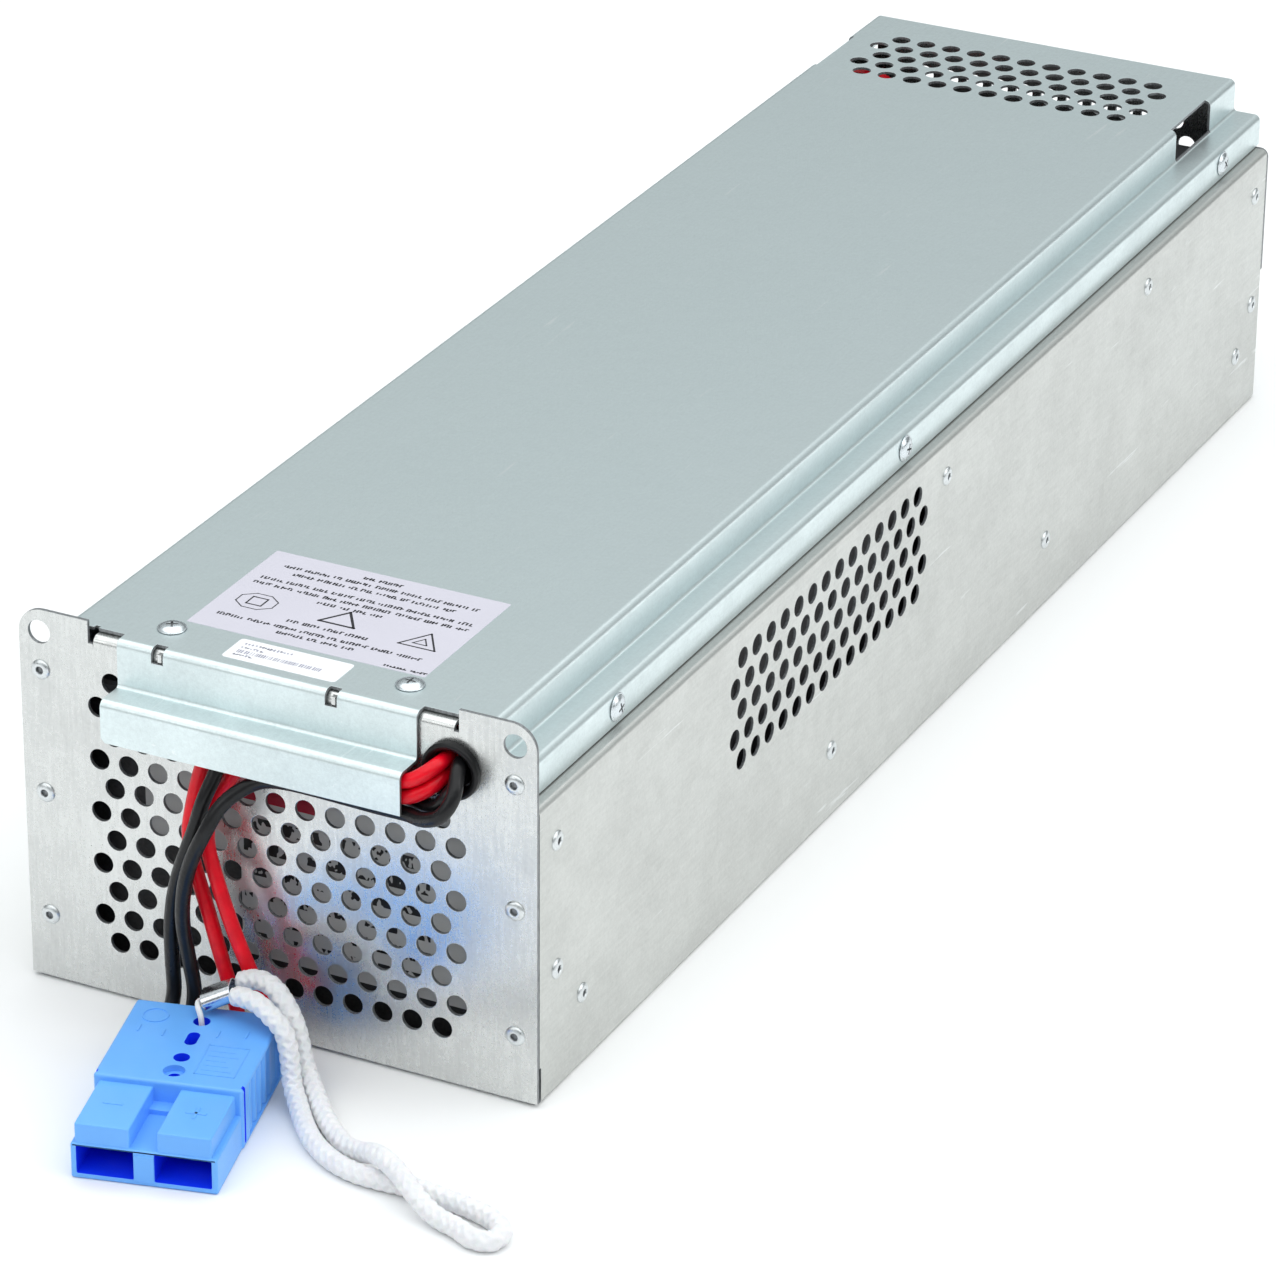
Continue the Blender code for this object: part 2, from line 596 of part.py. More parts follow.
def build_leads():
    """Jumpers chain four blocks into each string; the inner leads carry both strings forward."""
    for n in (1, 2, 3, 5, 6, 7):
        a = (block_y(n) + TAB_DY) / MM
        b = (block_y(n + 1) - TAB_DY) / MM
        x = TAB_X / MM
        route = [(x, a, 103.2), (x, a + 1.2, 107.0), (x, a + 6.0, 110.4), (x, (a + b) / 2, 111.4)]
        route += [(x, b - 6.0, 110.4), (x, b - 1.2, 107.0), (x, b, 103.2)]
        cord(f"jumper_{n}", route, 1.6 * MM, BLACK, 5 * MM, held=True)

    y1 = (block_y(1) - TAB_DY) / MM
    y4 = (block_y(4) + TAB_DY) / MM
    y5 = (block_y(5) - TAB_DY) / MM
    y8 = (block_y(8) + TAB_DY) / MM
    leads = {
        "inner_lead_black_1": (BLACK, [
            (59, 3.8, 98.5), (59, 6, 98.9), (58.4, 9.5, 99.7), (55, 13.2, 100), (48, 14, 100),
            (-45, 14, 100), (-52, 16, 101), (-58, y1 - 3, 106), (-62, y1, 108), (-63, y1, 106),
            (-63, y1, 103.6),
        ]),
        "inner_lead_red_1": (RED, [
            (54, 3.8, 103.5), (54.4, 8, 105), (53, 14.5, 106.2), (46.5, 20, 103), (36, 20.6, 100.2),
            (-38, 20.6, 100), (-46, 23, 100), (-49.5, 30, 100), (-50, 45, 100), (-50, y4 - 16, 100),
            (-51, y4 - 6, 102), (-56, y4 - 1, 106), (-61, y4, 108), (-63, y4, 106), (-63, y4, 103.6),
        ]),
        "inner_lead_black_2": (BLACK, [
            (59, 3.8, 103.5), (59, 9, 104.6), (57.5, 18, 104), (52, 26, 101), (44, 27.4, 100),
            (-31, 27.4, 100), (-39, 30, 100), (-42.6, 37, 100), (-43, 50, 100), (-43, y5 - 12, 100),
            (-45, y5 - 4, 101.5), (-53, y5, 106), (-61, y5, 108), (-63, y5, 106), (-63, y5, 103.6),
        ]),
        "inner_lead_red_2": (RED, [
            (54, 4, 98.5), (54, 6.4, 98.8), (52.5, 9.2, 99.9), (47, 10.4, 103.4), (41, 13, 107.2),
            (37, 21, 107.8), (35.5, 29, 107), (32, 35.8, 102), (26, 38, 100), (-22, 38, 100),
            (-31, 40, 100), (-35.6, 46, 100), (-36, 60, 100), (-36, y8 - 18, 100),
            (-38, y8 - 8, 101.5), (-48, y8 - 1, 105), (-60.5, y8, 108), (-63, y8, 106),
            (-63, y8, 103.6),
        ]),
    }
    for name, (mat, route) in leads.items():
        cord(name, route, CABLE_R, mat, 4.5 * MM, held=True)


# ---------------------------------------------------------------- connector
def build_connector():
    """Two-pole housing in its own frame: mouth at y = 0, cables enter at the far end."""
    frame = bpy.data.objects.new("connector_frame", None)
    PARTS.objects.link(frame)
    frame.parent = PACK
    frame.location = (*CONNECTOR_AT, 0.0)
    frame.rotation_euler = (0.0, 0.0, CONNECTOR_TURN)

    def local_box(name, low, high, mat=None, bevel=0.0):
        a = [v * MM for v in low]
        b = [v * MM for v in high]
        return box(name, a, b, mat, frame, bevel * MM, 1)

    shell = local_box("connector_housing", (-21.4, 24, 0), (21.4, 66.7, 19), BLUE, 1.0)
    join(shell, local_box("mouth", (-20.9, 0, 0.001), (20.9, 26, 11), None, 0.8))
    join(shell, local_box("hood_minus", (-19.7, 0.6, 9), (-4.1, 26, 17.1), None, 0.6))
    join(shell, local_box("hood_plus", (3.7, 0.6, 9), (19.2, 26, 17.1), None, 0.6))
    for side in (-1, 1):
        for y in (33, 39.5, 46, 52.5):
            place = (side * 21.0 * MM, y * MM, 9.5 * MM)
            join(shell, prisms(f"grip_{side}_{y}", [place], 1.5 * MM, 16 * MM, "Z", 8, parent=frame))
    for side in (-1, 1):
        a = sorted((side * 2.6, side * 19.2))
        cut(shell, local_box(f"chamber_{side}", (a[0], -2, 1.8), (a[1], 24, 9.6)))
        for x in (7.5, 14.5):
            place = (side * x * MM, 66.7 * MM, 9.5 * MM)
            cut(shell, prisms(f"entry_{side}_{x}", [place], 2.7 * MM, 16 * MM, "Y", 10, parent=frame))
    holes = ((0.0, 58.2, 2.4), (0.0, 38.0, 2.4), (0.0, 30.6, 1.8))
    for n, (x, y, r) in enumerate(holes):
        place = (x * MM, y * MM, 9.5 * MM)
        cut(shell, prisms(f"hole_{n + 1}", [place], r * MM, 30 * MM, "Z", 12, parent=frame))
    cut(shell, prisms("counterbore", [(0.0, 30.6 * MM, 19 * MM)], 3.2 * MM, 4 * MM, "Z", 12, parent=frame))
    cut(shell, local_box("slot", (-1.7, 45, -3), (1.7, 52, 24)))
    for side, name in ((-1, "minus"), (1, "plus")):
        a = sorted((side * 6.0, side * 16.0))
        local_box(f"contact_{name}", (a[0], 11, 4.2), (a[1], 23.7, 6.4), SILVER, 0.4)
    return frame


# ---------------------------------------------------------------- free cables
CABLES = {
    "cable_red_1": (RED, [
        (54, 3, 103.5), (54, -1.5, 103.5), (53, -4.8, 102.8), (50.2, -7.3, 100.7), (46, -7.7, 98.4),
        (38, -7.8, 98.2), (0, -7.8, 98.2), (-10, -7.7, 98.2), (-14.2, -6.4, 97.8), (-17.6, -4.5, 95.6),
        (-19.4, -3.5, 91.5), (-20.8, -3.5, 86.5), (-22.2, -4.3, 80.5), (-23.4, -5.4, 73.5),
        (-24, -7, 65), (-22.4, -8, 57),
        (-19.3, -9, 48.5), (-16.7, -10, 42.5), (-12.8, -11.2, 32), (-9.8, -11.6, 23),
        (-6.9, -12.4, 15.5), (-4.5, -15.5, 10.6), (-3.2, -18.6, 9.5),
    ]),
    "cable_red_2": (RED, [
        (54, 3, 98.5), (54, -2.2, 98.5), (53.2, -4.9, 97.5), (50, -6.8, 95.2), (46, -7.6, 93.5),
        (38, -7.8, 93.3), (2, -7.8, 93.3), (-4.6, -6.8, 92), (-8.8, -4.8, 88), (-12.4, -4.4, 82.6),
        (-16.6, -5.6, 76), (-17.9, -7.2, 67.3), (-16.8, -8.8, 62), (-14.9, -9.8, 57.4),
        (-11.3, -10.8, 48.3), (-7.6, -11.2, 38.9), (-3.4, -11.2, 29), (0.5, -10.6, 19.5),
        (2, -12.2, 13), (3.6, -16.9, 9.5),
    ]),
    "cable_black_1": (BLACK, [
        (59, 3, 103.5), (59.2, -1.4, 103.5), (60.6, -5.4, 101.9), (61.4, -9.2, 97.4), (58.6, -11.4, 92.2),
        (52, -9.8, 88.9), (47, -7.9, 88.3), (38, -7.8, 88.3), (5, -7.8, 88.4), (-0.6, -8.4, 86.9),
        (-4.6, -10.4, 84.6), (-9.3, -13.8, 79.9), (-13.2, -16.9, 71.6), (-17, -18, 62.5),
        (-20, -17.6, 51.9), (-21.4, -16.2, 40.6), (-20.6, -15, 29.5), (-19, -15, 18.5),
        (-18.8, -17.6, 11.4), (-17.7, -22.3, 9.5),
    ]),
    "cable_black_2": (BLACK, [
        (59, 3, 98.5), (59, -1.6, 98.5), (58.2, -5.4, 96), (54.4, -5.4, 91.6), (48, -3.4, 90.2),
        (42, -2.8, 91.2), (30, -2.7, 95), (18, -2.6, 98), (0, -2.6, 98.2), (-5.2, -2.8, 97.4),
        (-10, -4.4, 94.2), (-13.2, -6.2, 90), (-14.6, -8.7, 85), (-16.5, -11.4, 78.6),
        (-18.8, -13, 69.5), (-21.9, -13.6, 60.5), (-24.6, -13.8, 51.4), (-26.4, -14, 40.1),
        (-26.6, -14, 27), (-25.8, -15, 16.5), (-25.4, -19, 10.8), (-24.5, -24.1, 9.5),
    ]),
}


# ---------------------------------------------------------------- rope pull
def build_rope_pull():
    """A thin cord through the housing, a crimped ring, and a doubled rope laid on the floor."""
    outline = arc((1.6, 0.0), 2.2, -90, 90, 6) + arc((-1.6, 0.0), 2.2, 90, 270, 6)
    bm = bmesh.new()
    rows = []
    for along in (-3.0, 3.0):
        rows.append([bm.verts.new((u * MM, w * MM, along * MM)) for u, w in outline])
    for k in range(len(outline)):
        m = (k + 1) % len(outline)
        bm.faces.new((rows[0][k], rows[0][m], rows[1][m], rows[1][k]))
    mesh = bpy.data.meshes.new("rope_crimp")
    bm.to_mesh(mesh)
    bm.free()
    crimp = add("rope_crimp", mesh, SILVER)
    band = crimp.modifiers.new("thickness", "SOLIDIFY")
    band.thickness = 0.5 * MM
    band.offset = 1.0
    axis = Vector((4.6, 1.6, 2.4)).normalized()
    flat = Vector((-1.6, 4.6, 0.0)).normalized()
    up = axis.cross(flat)
    crimp.location = Vector((-6.6, -21.8, 24.4)) * MM
    crimp.rotation_mode = "QUATERNION"
    crimp.rotation_quaternion = Matrix((flat, up, axis)).transposed().to_quaternion()
    cord("pull_cord", [
        (-8.3, -29.1, 9), (-8.3, -29.1, 17), (-8.9, -28.7, 20.4), (-10.6, -27.2, 22.2),
        (-11.6, -25, 22.4), (-10.9, -23.5, 22.6), (-9.2, -22.8, 23.2), (-7.4, -22.1, 24.1),
    ], CORD_R, ROPE, 3 * MM)
    cord("pull_rope", [
        (-1.4, -23.6, 26.4), (3.0, -24.4, 27.2), (8.0, -25.2, 26.8), (12.4, -26.2, 24.8),
        (16.6, -27.0, 21.8), (18.6, -27.6, 17.0), (20.0, -28.8, 11.8), (21.8, -31.0, 7.2),
        (25.6, -34.8, 4.3), (30.6, -40.6, 3.1), (38.2, -48.4, 3.0), (48.0, -54.6, 3.0),
        (57.3, -57.2, 3.0), (66.5, -57.2, 3.0), (76.0, -56.6, 3.0), (86.0, -57.8, 3.0),
        (95.0, -59.2, 3.0), (101.6, -61.6, 3.0), (106.0, -65.6, 3.0), (105.6, -70.6, 3.0),
        (100.6, -72.0, 3.0), (94.1, -69.2, 3.0), (88.0, -67.6, 3.2), (83.0, -66.0, 4.5),
        (78.0, -63.8, 6.6), (73.0, -61.0, 8.4), (68.0, -58.0, 9.2), (63.5, -55.2, 8.9),
        (59.0, -52.4, 7.4), (54.0, -49.6, 4.9), (48.0, -46.8, 3.3), (42.0, -42.4, 3.0),
        (35.2, -36.2, 3.1), (28.4, -29.0, 4.4), (23.4, -24.6, 7.2), (20.2, -22.2, 11.2),
        (18.4, -21.0, 16.0), (16.6, -20.6, 21.0), (13.6, -19.8, 25.4), (9.8, -18.2, 28.0),
        (5.5, -16.8, 29.0), (1.0, -16.2, 28.4), (-3.6, -17.2, 26.6),
    ], ROPE_R, ROPE, 9 * MM)


build_front_plate()
build_rear_plate()
build_side_panels()
build_tray()
build_cover()
build_screws()
build_grommet()
build_blocks()
build_leads()
build_connector()
for cable_name, (cable_mat, cable_route) in CABLES.items():
    cord(cable_name, cable_route, CABLE_R, cable_mat, 5 * MM)
build_rope_pull()
for part in PARTS.objects:
    if part.type == "MESH" and part.name.startswith(("block", "grommet", "top_cover")):
        smooth(part)
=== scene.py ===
"""Looks of the slide-in battery pack: its sheet metal, cables, connector, rope pull and labels.

Shapes are made in millimetres, with y = 0 on the front plate's outer face, and are put in the row
frame by piece(). Everything rides on the one body, "root".
"""

import json
import math
import random

import bmesh
import bpy
from mathutils import Matrix, Vector

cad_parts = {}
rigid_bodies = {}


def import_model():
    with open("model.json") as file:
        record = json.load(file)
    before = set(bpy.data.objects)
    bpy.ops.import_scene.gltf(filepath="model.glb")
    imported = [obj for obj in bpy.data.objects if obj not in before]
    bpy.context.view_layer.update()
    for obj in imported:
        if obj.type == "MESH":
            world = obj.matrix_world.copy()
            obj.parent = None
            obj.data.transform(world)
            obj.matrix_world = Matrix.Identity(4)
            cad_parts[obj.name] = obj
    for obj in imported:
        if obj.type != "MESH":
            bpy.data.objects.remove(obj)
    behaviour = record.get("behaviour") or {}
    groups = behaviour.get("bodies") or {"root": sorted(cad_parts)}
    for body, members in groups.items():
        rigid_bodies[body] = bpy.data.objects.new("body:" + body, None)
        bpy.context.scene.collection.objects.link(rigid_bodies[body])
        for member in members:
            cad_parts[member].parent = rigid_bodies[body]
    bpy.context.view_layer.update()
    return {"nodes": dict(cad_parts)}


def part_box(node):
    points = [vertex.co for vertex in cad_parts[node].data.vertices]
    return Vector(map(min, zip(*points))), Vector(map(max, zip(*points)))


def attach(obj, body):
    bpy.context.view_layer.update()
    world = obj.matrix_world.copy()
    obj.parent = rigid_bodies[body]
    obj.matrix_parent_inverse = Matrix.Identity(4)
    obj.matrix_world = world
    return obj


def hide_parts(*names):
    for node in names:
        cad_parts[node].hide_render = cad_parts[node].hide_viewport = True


for old in list(bpy.data.objects):
    bpy.data.objects.remove(old, do_unlink=True)
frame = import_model()

CASE_L = 549.0
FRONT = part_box("rear_plate")[1].y - CASE_L / 1000      # row-frame y of the front plate
TO_ROW = Matrix.Translation((0.0, FRONT, 0.0)) @ Matrix.Scale(0.001, 4)


# ---------------------------------------------------------------- camera
def make_camera():
    """Seen from the front right and above, over the grommet's corner."""
    azimuth, elevation, roll = math.radians(26.423), math.radians(26.490), math.radians(0.489)
    target = Vector((13.3, 200.0, 43.2))
    back = Vector((
        math.sin(azimuth) * math.cos(elevation),
        -math.cos(azimuth) * math.cos(elevation),
        math.sin(elevation),
    ))
    right = (-back).cross(Vector((0, 0, 1))).normalized()
    up = right.cross(-back)
    turned_right = right * math.cos(roll) + up * math.sin(roll)
    turned_up = up * math.cos(roll) - right * math.sin(roll)
    data = bpy.data.cameras.new("camera")
    data.lens = 167.31
    data.sensor_width = 36.0
    data.clip_start = 0.1
    data.clip_end = 50.0
    camera = bpy.data.objects.new("camera", data)
    camera.rotation_mode = "QUATERNION"
    camera.rotation_quaternion = Matrix((turned_right, turned_up, back)).transposed().to_quaternion()
    camera.location = TO_ROW @ (target + back * 1826.0)
    bpy.context.scene.collection.objects.link(camera)
    bpy.context.scene.camera = camera


make_camera()


# ---------------------------------------------------------------- material helpers
class Shader:
    """A material's node tree, with short calls for the nodes used here."""

    def __init__(self, name, colour=(0.8, 0.8, 0.8), roughness=0.5, metallic=0.0, **sockets):
        self.mat = bpy.data.materials.new(name)
        self.mat.use_nodes = True
        self.tree = self.mat.node_tree
        self.out = self.tree.nodes["Principled BSDF"]
        self.out.inputs["Base Color"].default_value = (*colour, 1.0)
        self.out.inputs["Roughness"].default_value = roughness
        self.out.inputs["Metallic"].default_value = metallic
        for socket, value in sockets.items():
            self.out.inputs[socket.replace("_", " ")].default_value = value

    def node(self, kind, **links):
        made = self.tree.nodes.new("ShaderNode" + kind)
        for key, value in links.items():
            self.set(made, key, value)
        return made

    def set(self, node, key, value):
        """Link or set one input; key is its name with underscores, or i and its number."""
        index = int(key[1:]) if key[0] == "i" and key[1:].isdigit() else key.replace("_", " ")
        if isinstance(value, bpy.types.NodeSocket):
            self.tree.links.new(value, node.inputs[index])
        else:
            node.inputs[index].default_value = value

    def place(self, scale):
        """Object coordinates in millimetres, stretched by scale along each axis."""
        coords = self.node("TexCoord").outputs["Object"]
        moved = self.node("Mapping", Vector=coords)
        moved.inputs["Scale"].default_value = [1000.0 * s for s in scale]
        return moved.outputs["Vector"]

    def noise(self, scale, detail=3.0, rough=0.55):
        made = self.node("TexNoise", Vector=self.place(scale), Scale=1.0, Detail=detail)
        made.inputs["Roughness"].default_value = rough
        return made.outputs["Fac"]

    def cells(self, scale):
        return self.node("TexVoronoi", Vector=self.place(scale), Scale=1.0)

    def remap(self, value, low, high, to_low, to_high):
        made = self.node("MapRange", Value=value)
        made.inputs["From Min"].default_value = low
        made.inputs["From Max"].default_value = high
        made.inputs["To Min"].default_value = to_low
        made.inputs["To Max"].default_value = to_high
        return made.outputs["Result"]

    def maths(self, operation, a, b=0.0):
        made = self.tree.nodes.new("ShaderNodeMath")
        made.operation = operation
        self.set(made, "i0", a)
        self.set(made, "i1", b)
        return made.outputs[0]

    def blend(self, factor, a, b):
        made = self.tree.nodes.new("ShaderNodeMix")
        made.data_type = "RGBA"
        self.set(made, "i0", factor)
        self.set(made, "i6", a if isinstance(a, bpy.types.NodeSocket) else (*a, 1.0))
        self.set(made, "i7", b if isinstance(b, bpy.types.NodeSocket) else (*b, 1.0))
        return made.outputs[2]

    def bump(self, height, distance, strength=1.0, after=None):
        """A bump of so many millimetres, on top of another one where that is given."""
        made = self.node("Bump", Height=height, Strength=strength)
        made.inputs["Distance"].default_value = distance * 0.001
        if after is not None:
            self.set(made, "Normal", after)
        return made.outputs["Normal"]

    def use(self, **links):
        """Link the finished values to the shader and give its material."""
        for key, value in links.items():
            self.set(self.out, key, value)
        return self.mat


def zinc(name, along, colour, rough=0.34, metal=0.88, streak=0.5):
    """Galvanised sheet: faint spangle, fine mottle, a little grain along one axis, rubs and specks."""
    grain = [1.1, 1.1, 1.1]
    grain["XYZ".index(along)] = 0.09
    marks = [0.30, 0.30, 0.30]
    marks["XYZ".index(along)] = 0.02
    s = Shader(name, colour, rough, metal)
    spangle = s.cells((0.20, 0.20, 0.20))
    tone = s.node("SeparateColor", Color=spangle.outputs["Color"]).outputs[0]
    cloud = s.noise((0.030, 0.030, 0.030), 4.0)
    rolled = s.noise(grain, 3.0, 0.6)
    mottle = s.noise((0.75, 0.75, 0.75), 4.0, 0.65)
    speck = s.noise((2.4, 2.4, 2.4), 2.0)
    rubs = s.noise(marks, 3.0, 0.7)
    shade = s.maths("ADD", s.remap(tone, 0, 1, -0.3, 0.3), s.remap(cloud, 0.3, 0.7, -0.8, 0.8))
    shade = s.maths("ADD", shade, s.remap(rolled, 0.25, 0.75, -streak, streak))
    shade = s.maths("ADD", shade, s.remap(mottle, 0.25, 0.75, -0.9, 0.9))
    shade = s.maths("ADD", shade, s.remap(speck, 0.25, 0.75, -0.6, 0.6))
    light = [min(1.0, c * 1.12) for c in colour]
    dark = [c * 0.84 for c in colour]
    base = s.blend(s.remap(shade, -2.4, 2.4, 0.0, 1.0), dark, light)
    scuff = s.remap(rubs, 0.68, 0.73, 0.0, 0.45)
    base = s.blend(scuff, base, (0.92, 0.94, 0.95))
    wear = s.remap(shade, -2.4, 2.4, rough + 0.12, rough - 0.08)
    dimple = s.bump(s.noise((0.12, 0.12, 0.12), 2.0), 0.05, 1.0)
    dimple = s.bump(mottle, 0.012, 1.0, dimple)
    return s.use(Base_Color=base, Roughness=wear, Normal=dimple)


def moulded(name, colour, rough=0.42, grain=0.02, vary=0.06, **sockets):
    """Moulded plastic or rubber with a fine skin and slight colour drift."""
    s = Shader(name, colour, rough, 0.0, **sockets)
    drift = s.noise((0.05, 0.05, 0.05), 3.0)
    light = [min(1.0, c * (1 + vary)) for c in colour]
    dark = [c * (1 - vary) for c in colour]
    base = s.blend(s.remap(drift, 0.3, 0.7, 0, 1), dark, light)
    skin = s.noise((2.5, 2.5, 2.5), 3.0)
    rough_map = s.remap(skin, 0.3, 0.7, rough - 0.05, rough + 0.07)
    return s.use(Base_Color=base, Roughness=rough_map, Normal=s.bump(skin, grain, 1.0))


def insulated(name, colour, rough, vary):
    """Cable insulation: slightly wrinkled glossy skin with rubbed patches."""
    skin = {"Specular_IOR_Level": 0.22, "Coat_Weight": 0.35, "Coat_Roughness": 0.10, "Coat_IOR": 1.35}
    s = Shader(name, colour, rough, 0.0, **skin)
    wrinkle = s.noise((0.55, 0.55, 0.55), 4.0, 0.65)
    patch = s.noise((0.12, 0.12, 0.12), 4.0)
    light = [min(1.0, c * (1 + vary) + vary * 0.01) for c in colour]
    dark = [c * (1 - vary) for c in colour]
    base = s.blend(s.remap(patch, 0.35, 0.65, 0, 1), dark, light)
    rough_map = s.remap(patch, 0.3, 0.7, rough + 0.10, rough - 0.06)
    return s.use(Base_Color=base, Roughness=rough_map, Normal=s.bump(wrinkle, 0.22, 1.0))


def cut_steel(name, colour):
    """Sheared edge of the sheet: dull and streaked. The same dark steel lines screw recesses and rivet bores
    as painted shade.
    """
    s = Shader(name, colour, 0.5, 0.7)
    streak = s.noise((1.6, 1.6, 0.3), 2.0)
    base = s.blend(s.remap(streak, 0.3, 0.7, 0, 1), [c * 0.7 for c in colour], [c * 1.4 for c in colour])
    return s.use(Base_Color=base, Normal=s.bump(streak, 0.03, 1.0))


def plated(name, colour, rough):
    """Plated steel with fine machining lines."""
    s = Shader(name, colour, rough, 1.0)
    lines = s.noise((1.8, 1.8, 1.8), 3.0)
    base = s.blend(s.remap(lines, 0.3, 0.7, 0, 1), [c * 0.86 for c in colour], colour)
    return s.use(
        Base_Color=base,
        Roughness=s.remap(lines, 0.3, 0.7, rough - 0.05, rough + 0.12),
        Normal=s.bump(lines, 0.02, 1.0),
    )


def printed_case():
    """Dark block case; a pale panel with a dark red band and rows of plain dashes is on its front face."""
    s = Shader("block case", (0.03, 0.03, 0.032), 0.42, 0.0, Specular_IOR_Level=0.4)
    where = s.node("SeparateXYZ", Vector=s.place((1, 1, 1)))
    x, y, z = where.outputs
    moulding = s.noise((1.1, 1.1, 1.1), 3.0)
    base = s.blend(s.remap(moulding, 0.3, 0.7, 0, 1), (0.022, 0.022, 0.024), (0.045, 0.045, 0.048))

    def both(a, b):
        return s.maths("MULTIPLY", a, b)

    def between(value, low, high):
        return both(s.maths("GREATER_THAN", value, low), s.maths("LESS_THAN", value, high))

    face = s.maths("LESS_THAN", y, FRONT * 1000 + 9.4)
    lower = both(s.maths("GREATER_THAN", x, -17.0), between(z, 20.0, 60.0))
    panel = s.maths("MAXIMUM", between(z, 50.0, 91.0), lower)
    panel = both(face, both(panel, between(x, -48.0, 62.0)))
    row = s.maths("FRACT", s.maths("MULTIPLY", z, 1 / 7.4))
    word = s.noise((0.50, 0.01, 0.30), 1.0)
    ink = both(both(between(row, 0.22, 0.74), s.maths("GREATER_THAN", word, 0.49)), between(z, 22.0, 68.0))
    ink = both(ink, between(x, -16.0, 44.0))
    band = both(between(z, 70.0, 81.0), between(x, -17.0, 10.0))
    base = s.blend(panel, base, (0.60, 0.60, 0.60))
    base = s.blend(both(panel, ink), base, (0.015, 0.014, 0.015))
    base = s.blend(both(panel, band), base, (0.40, 0.004, 0.03))
    return s.use(Base_Color=base, Normal=s.bump(moulding, 0.05, 1.0))


# Three copies of one galvanised finish, set per face. The cover's copy is tinted bluish as a painted sky
# reflection, the side sheets' copy is darker as painted shade, and the front and rear plates' copy lies
# between. Their grain directions differ too.
ZINC_PAINTED_SKY_TINT = zinc("galvanised, grain along the case, painted sky tint", "Y", (0.715, 0.80, 0.81))
ZINC_PAINTED_SIDE_SHADE = zinc("galvanised, side sheets, painted shade", "Y", (0.60, 0.61, 0.59), 0.36, 0.86, 0.7)
ZINC_Z = zinc("galvanised, upright grain", "Z", (0.665, 0.675, 0.665), 0.26, 0.92, 1.0)
EDGE_AND_RECESS_SHADE = cut_steel("sheared edge and painted recess shade", (0.24, 0.25, 0.26))
SCREW = plated("screw steel", (0.72, 0.77, 0.80), 0.24)
RIVET = plated("rivet", (0.74, 0.77, 0.78), 0.30)
CRIMP = plated("crimp", (0.80, 0.82, 0.86), 0.16)
RUBBER = moulded("grommet rubber", (0.008, 0.008, 0.009), 0.36, 0.03, Specular_IOR_Level=0.25)
FOAM = moulded("foam", (0.05, 0.05, 0.055), 0.95, 0.25, 0.2)
LID = moulded("block lid", (0.085, 0.085, 0.09), 0.5, 0.04, 0.1)
CASE = printed_case()
BLUE = moulded("connector blue", (0.14, 0.43, 0.96), 0.38, 0.015, 0.04, Coat_Weight=0.1)
# Darker, more saturated blue for the walls of the chambers, holes, slot and seam: painted shade and
# interreflection inside the one blue plastic.
BLUE_PAINTED_RECESS_SHADE = moulded("connector recesses, painted shade", (0.003, 0.045, 0.95), 0.45, 0.02, 0.05)
SILVER = plated("contact silver", (0.86, 0.86, 0.84), 0.22)
RED = insulated("red insulation", (0.78, 0.001, 0.014), 0.34, 0.15)
BLACK = insulated("black insulation", (0.006, 0.006, 0.007), 0.30, 0.3)


# ---------------------------------------------------------------- mesh helpers
def as_mesh(bm):
    """The bmesh as a mesh; the bmesh is used up."""
    mesh = bpy.data.meshes.new("mesh")
    bm.to_mesh(mesh)
    bm.free()
    return mesh


def box(low, high, bevel=0.0, segments=2, index=0):
    """A box between two corners, with rounded edges where a bevel is given."""
    bm = bmesh.new()
    size = [b - a for a, b in zip(low, high)]
    middle = [(a + b) / 2 for a, b in zip(low, high)]
    bmesh.ops.create_cube(bm, size=1.0, matrix=Matrix.Translation(middle) @ Matrix.Diagonal((*size, 1)))
    if bevel:
        bmesh.ops.bevel(
            bm, geom=bm.edges[:], offset=bevel, segments=segments, affect="EDGES", profile=0.5
        )
    for face in bm.faces:
        face.material_index = index
    return as_mesh(bm)


def prisms(places, radius, depth, axis, sides=20, index=1):
    """Round cutters, one for each place."""
    turn = {
        "X": Matrix.Rotation(math.pi / 2, 4, "Y"),
        "Y": Matrix.Rotation(math.pi / 2, 4, "X"),
        "Z": Matrix.Identity(4),
    }[axis]
    bm = bmesh.new()
    for place in places:
        bmesh.ops.create_cone(
            bm, cap_ends=True, segments=sides, radius1=radius, radius2=radius, depth=depth,
            matrix=Matrix.Translation(place) @ turn,
        )
    for face in bm.faces:
        face.material_index = index
    return as_mesh(bm)


def boolean(mesh, tool, operation="DIFFERENCE"):
    """One EXACT Boolean on two meshes; both are used up. Two full slots keep the face indices."""
    base = bpy.data.objects.new("base", mesh)
    other = bpy.data.objects.new("tool", tool)
    for obj in (base, other):
        for _ in range(2 - len(obj.data.materials)):
            obj.data.materials.append(None)
        obj.data.materials[0], obj.data.materials[1] = ZINC_PAINTED_SKY_TINT, EDGE_AND_RECESS_SHADE
        bpy.context.scene.collection.objects.link(obj)
    step = base.modifiers.new("step", "BOOLEAN")
    step.operation = operation
    step.object = other
    graph = bpy.context.evaluated_depsgraph_get()
    made = bpy.data.meshes.new_from_object(base.evaluated_get(graph))
    for obj in (base, other):
        bpy.data.objects.remove(obj, do_unlink=True)
    return made


def cut(mesh, *tools):
    for tool in tools:
        mesh = boolean(mesh, tool)
    return mesh


def join(mesh, *tools):
    for tool in tools:
        mesh = boolean(mesh, tool, "UNION")
    return mesh


def moved(mesh, matrix):
    """The mesh itself, after a transform."""
    mesh.transform(matrix)
    return mesh


def together(meshes):
    """Several loose meshes as one."""
    bm = bmesh.new()
    for mesh in meshes:
        bm.from_mesh(mesh)
    return as_mesh(bm)


def arc(centre, radius, start, end, steps):
    """Points on an arc in a plane; the angles are in degrees."""
    points = []
    for i in range(steps + 1):
        angle = math.radians(start + (end - start) * i / steps)
        points.append((centre[0] + radius * math.cos(angle), centre[1] + radius * math.sin(angle)))
    return points


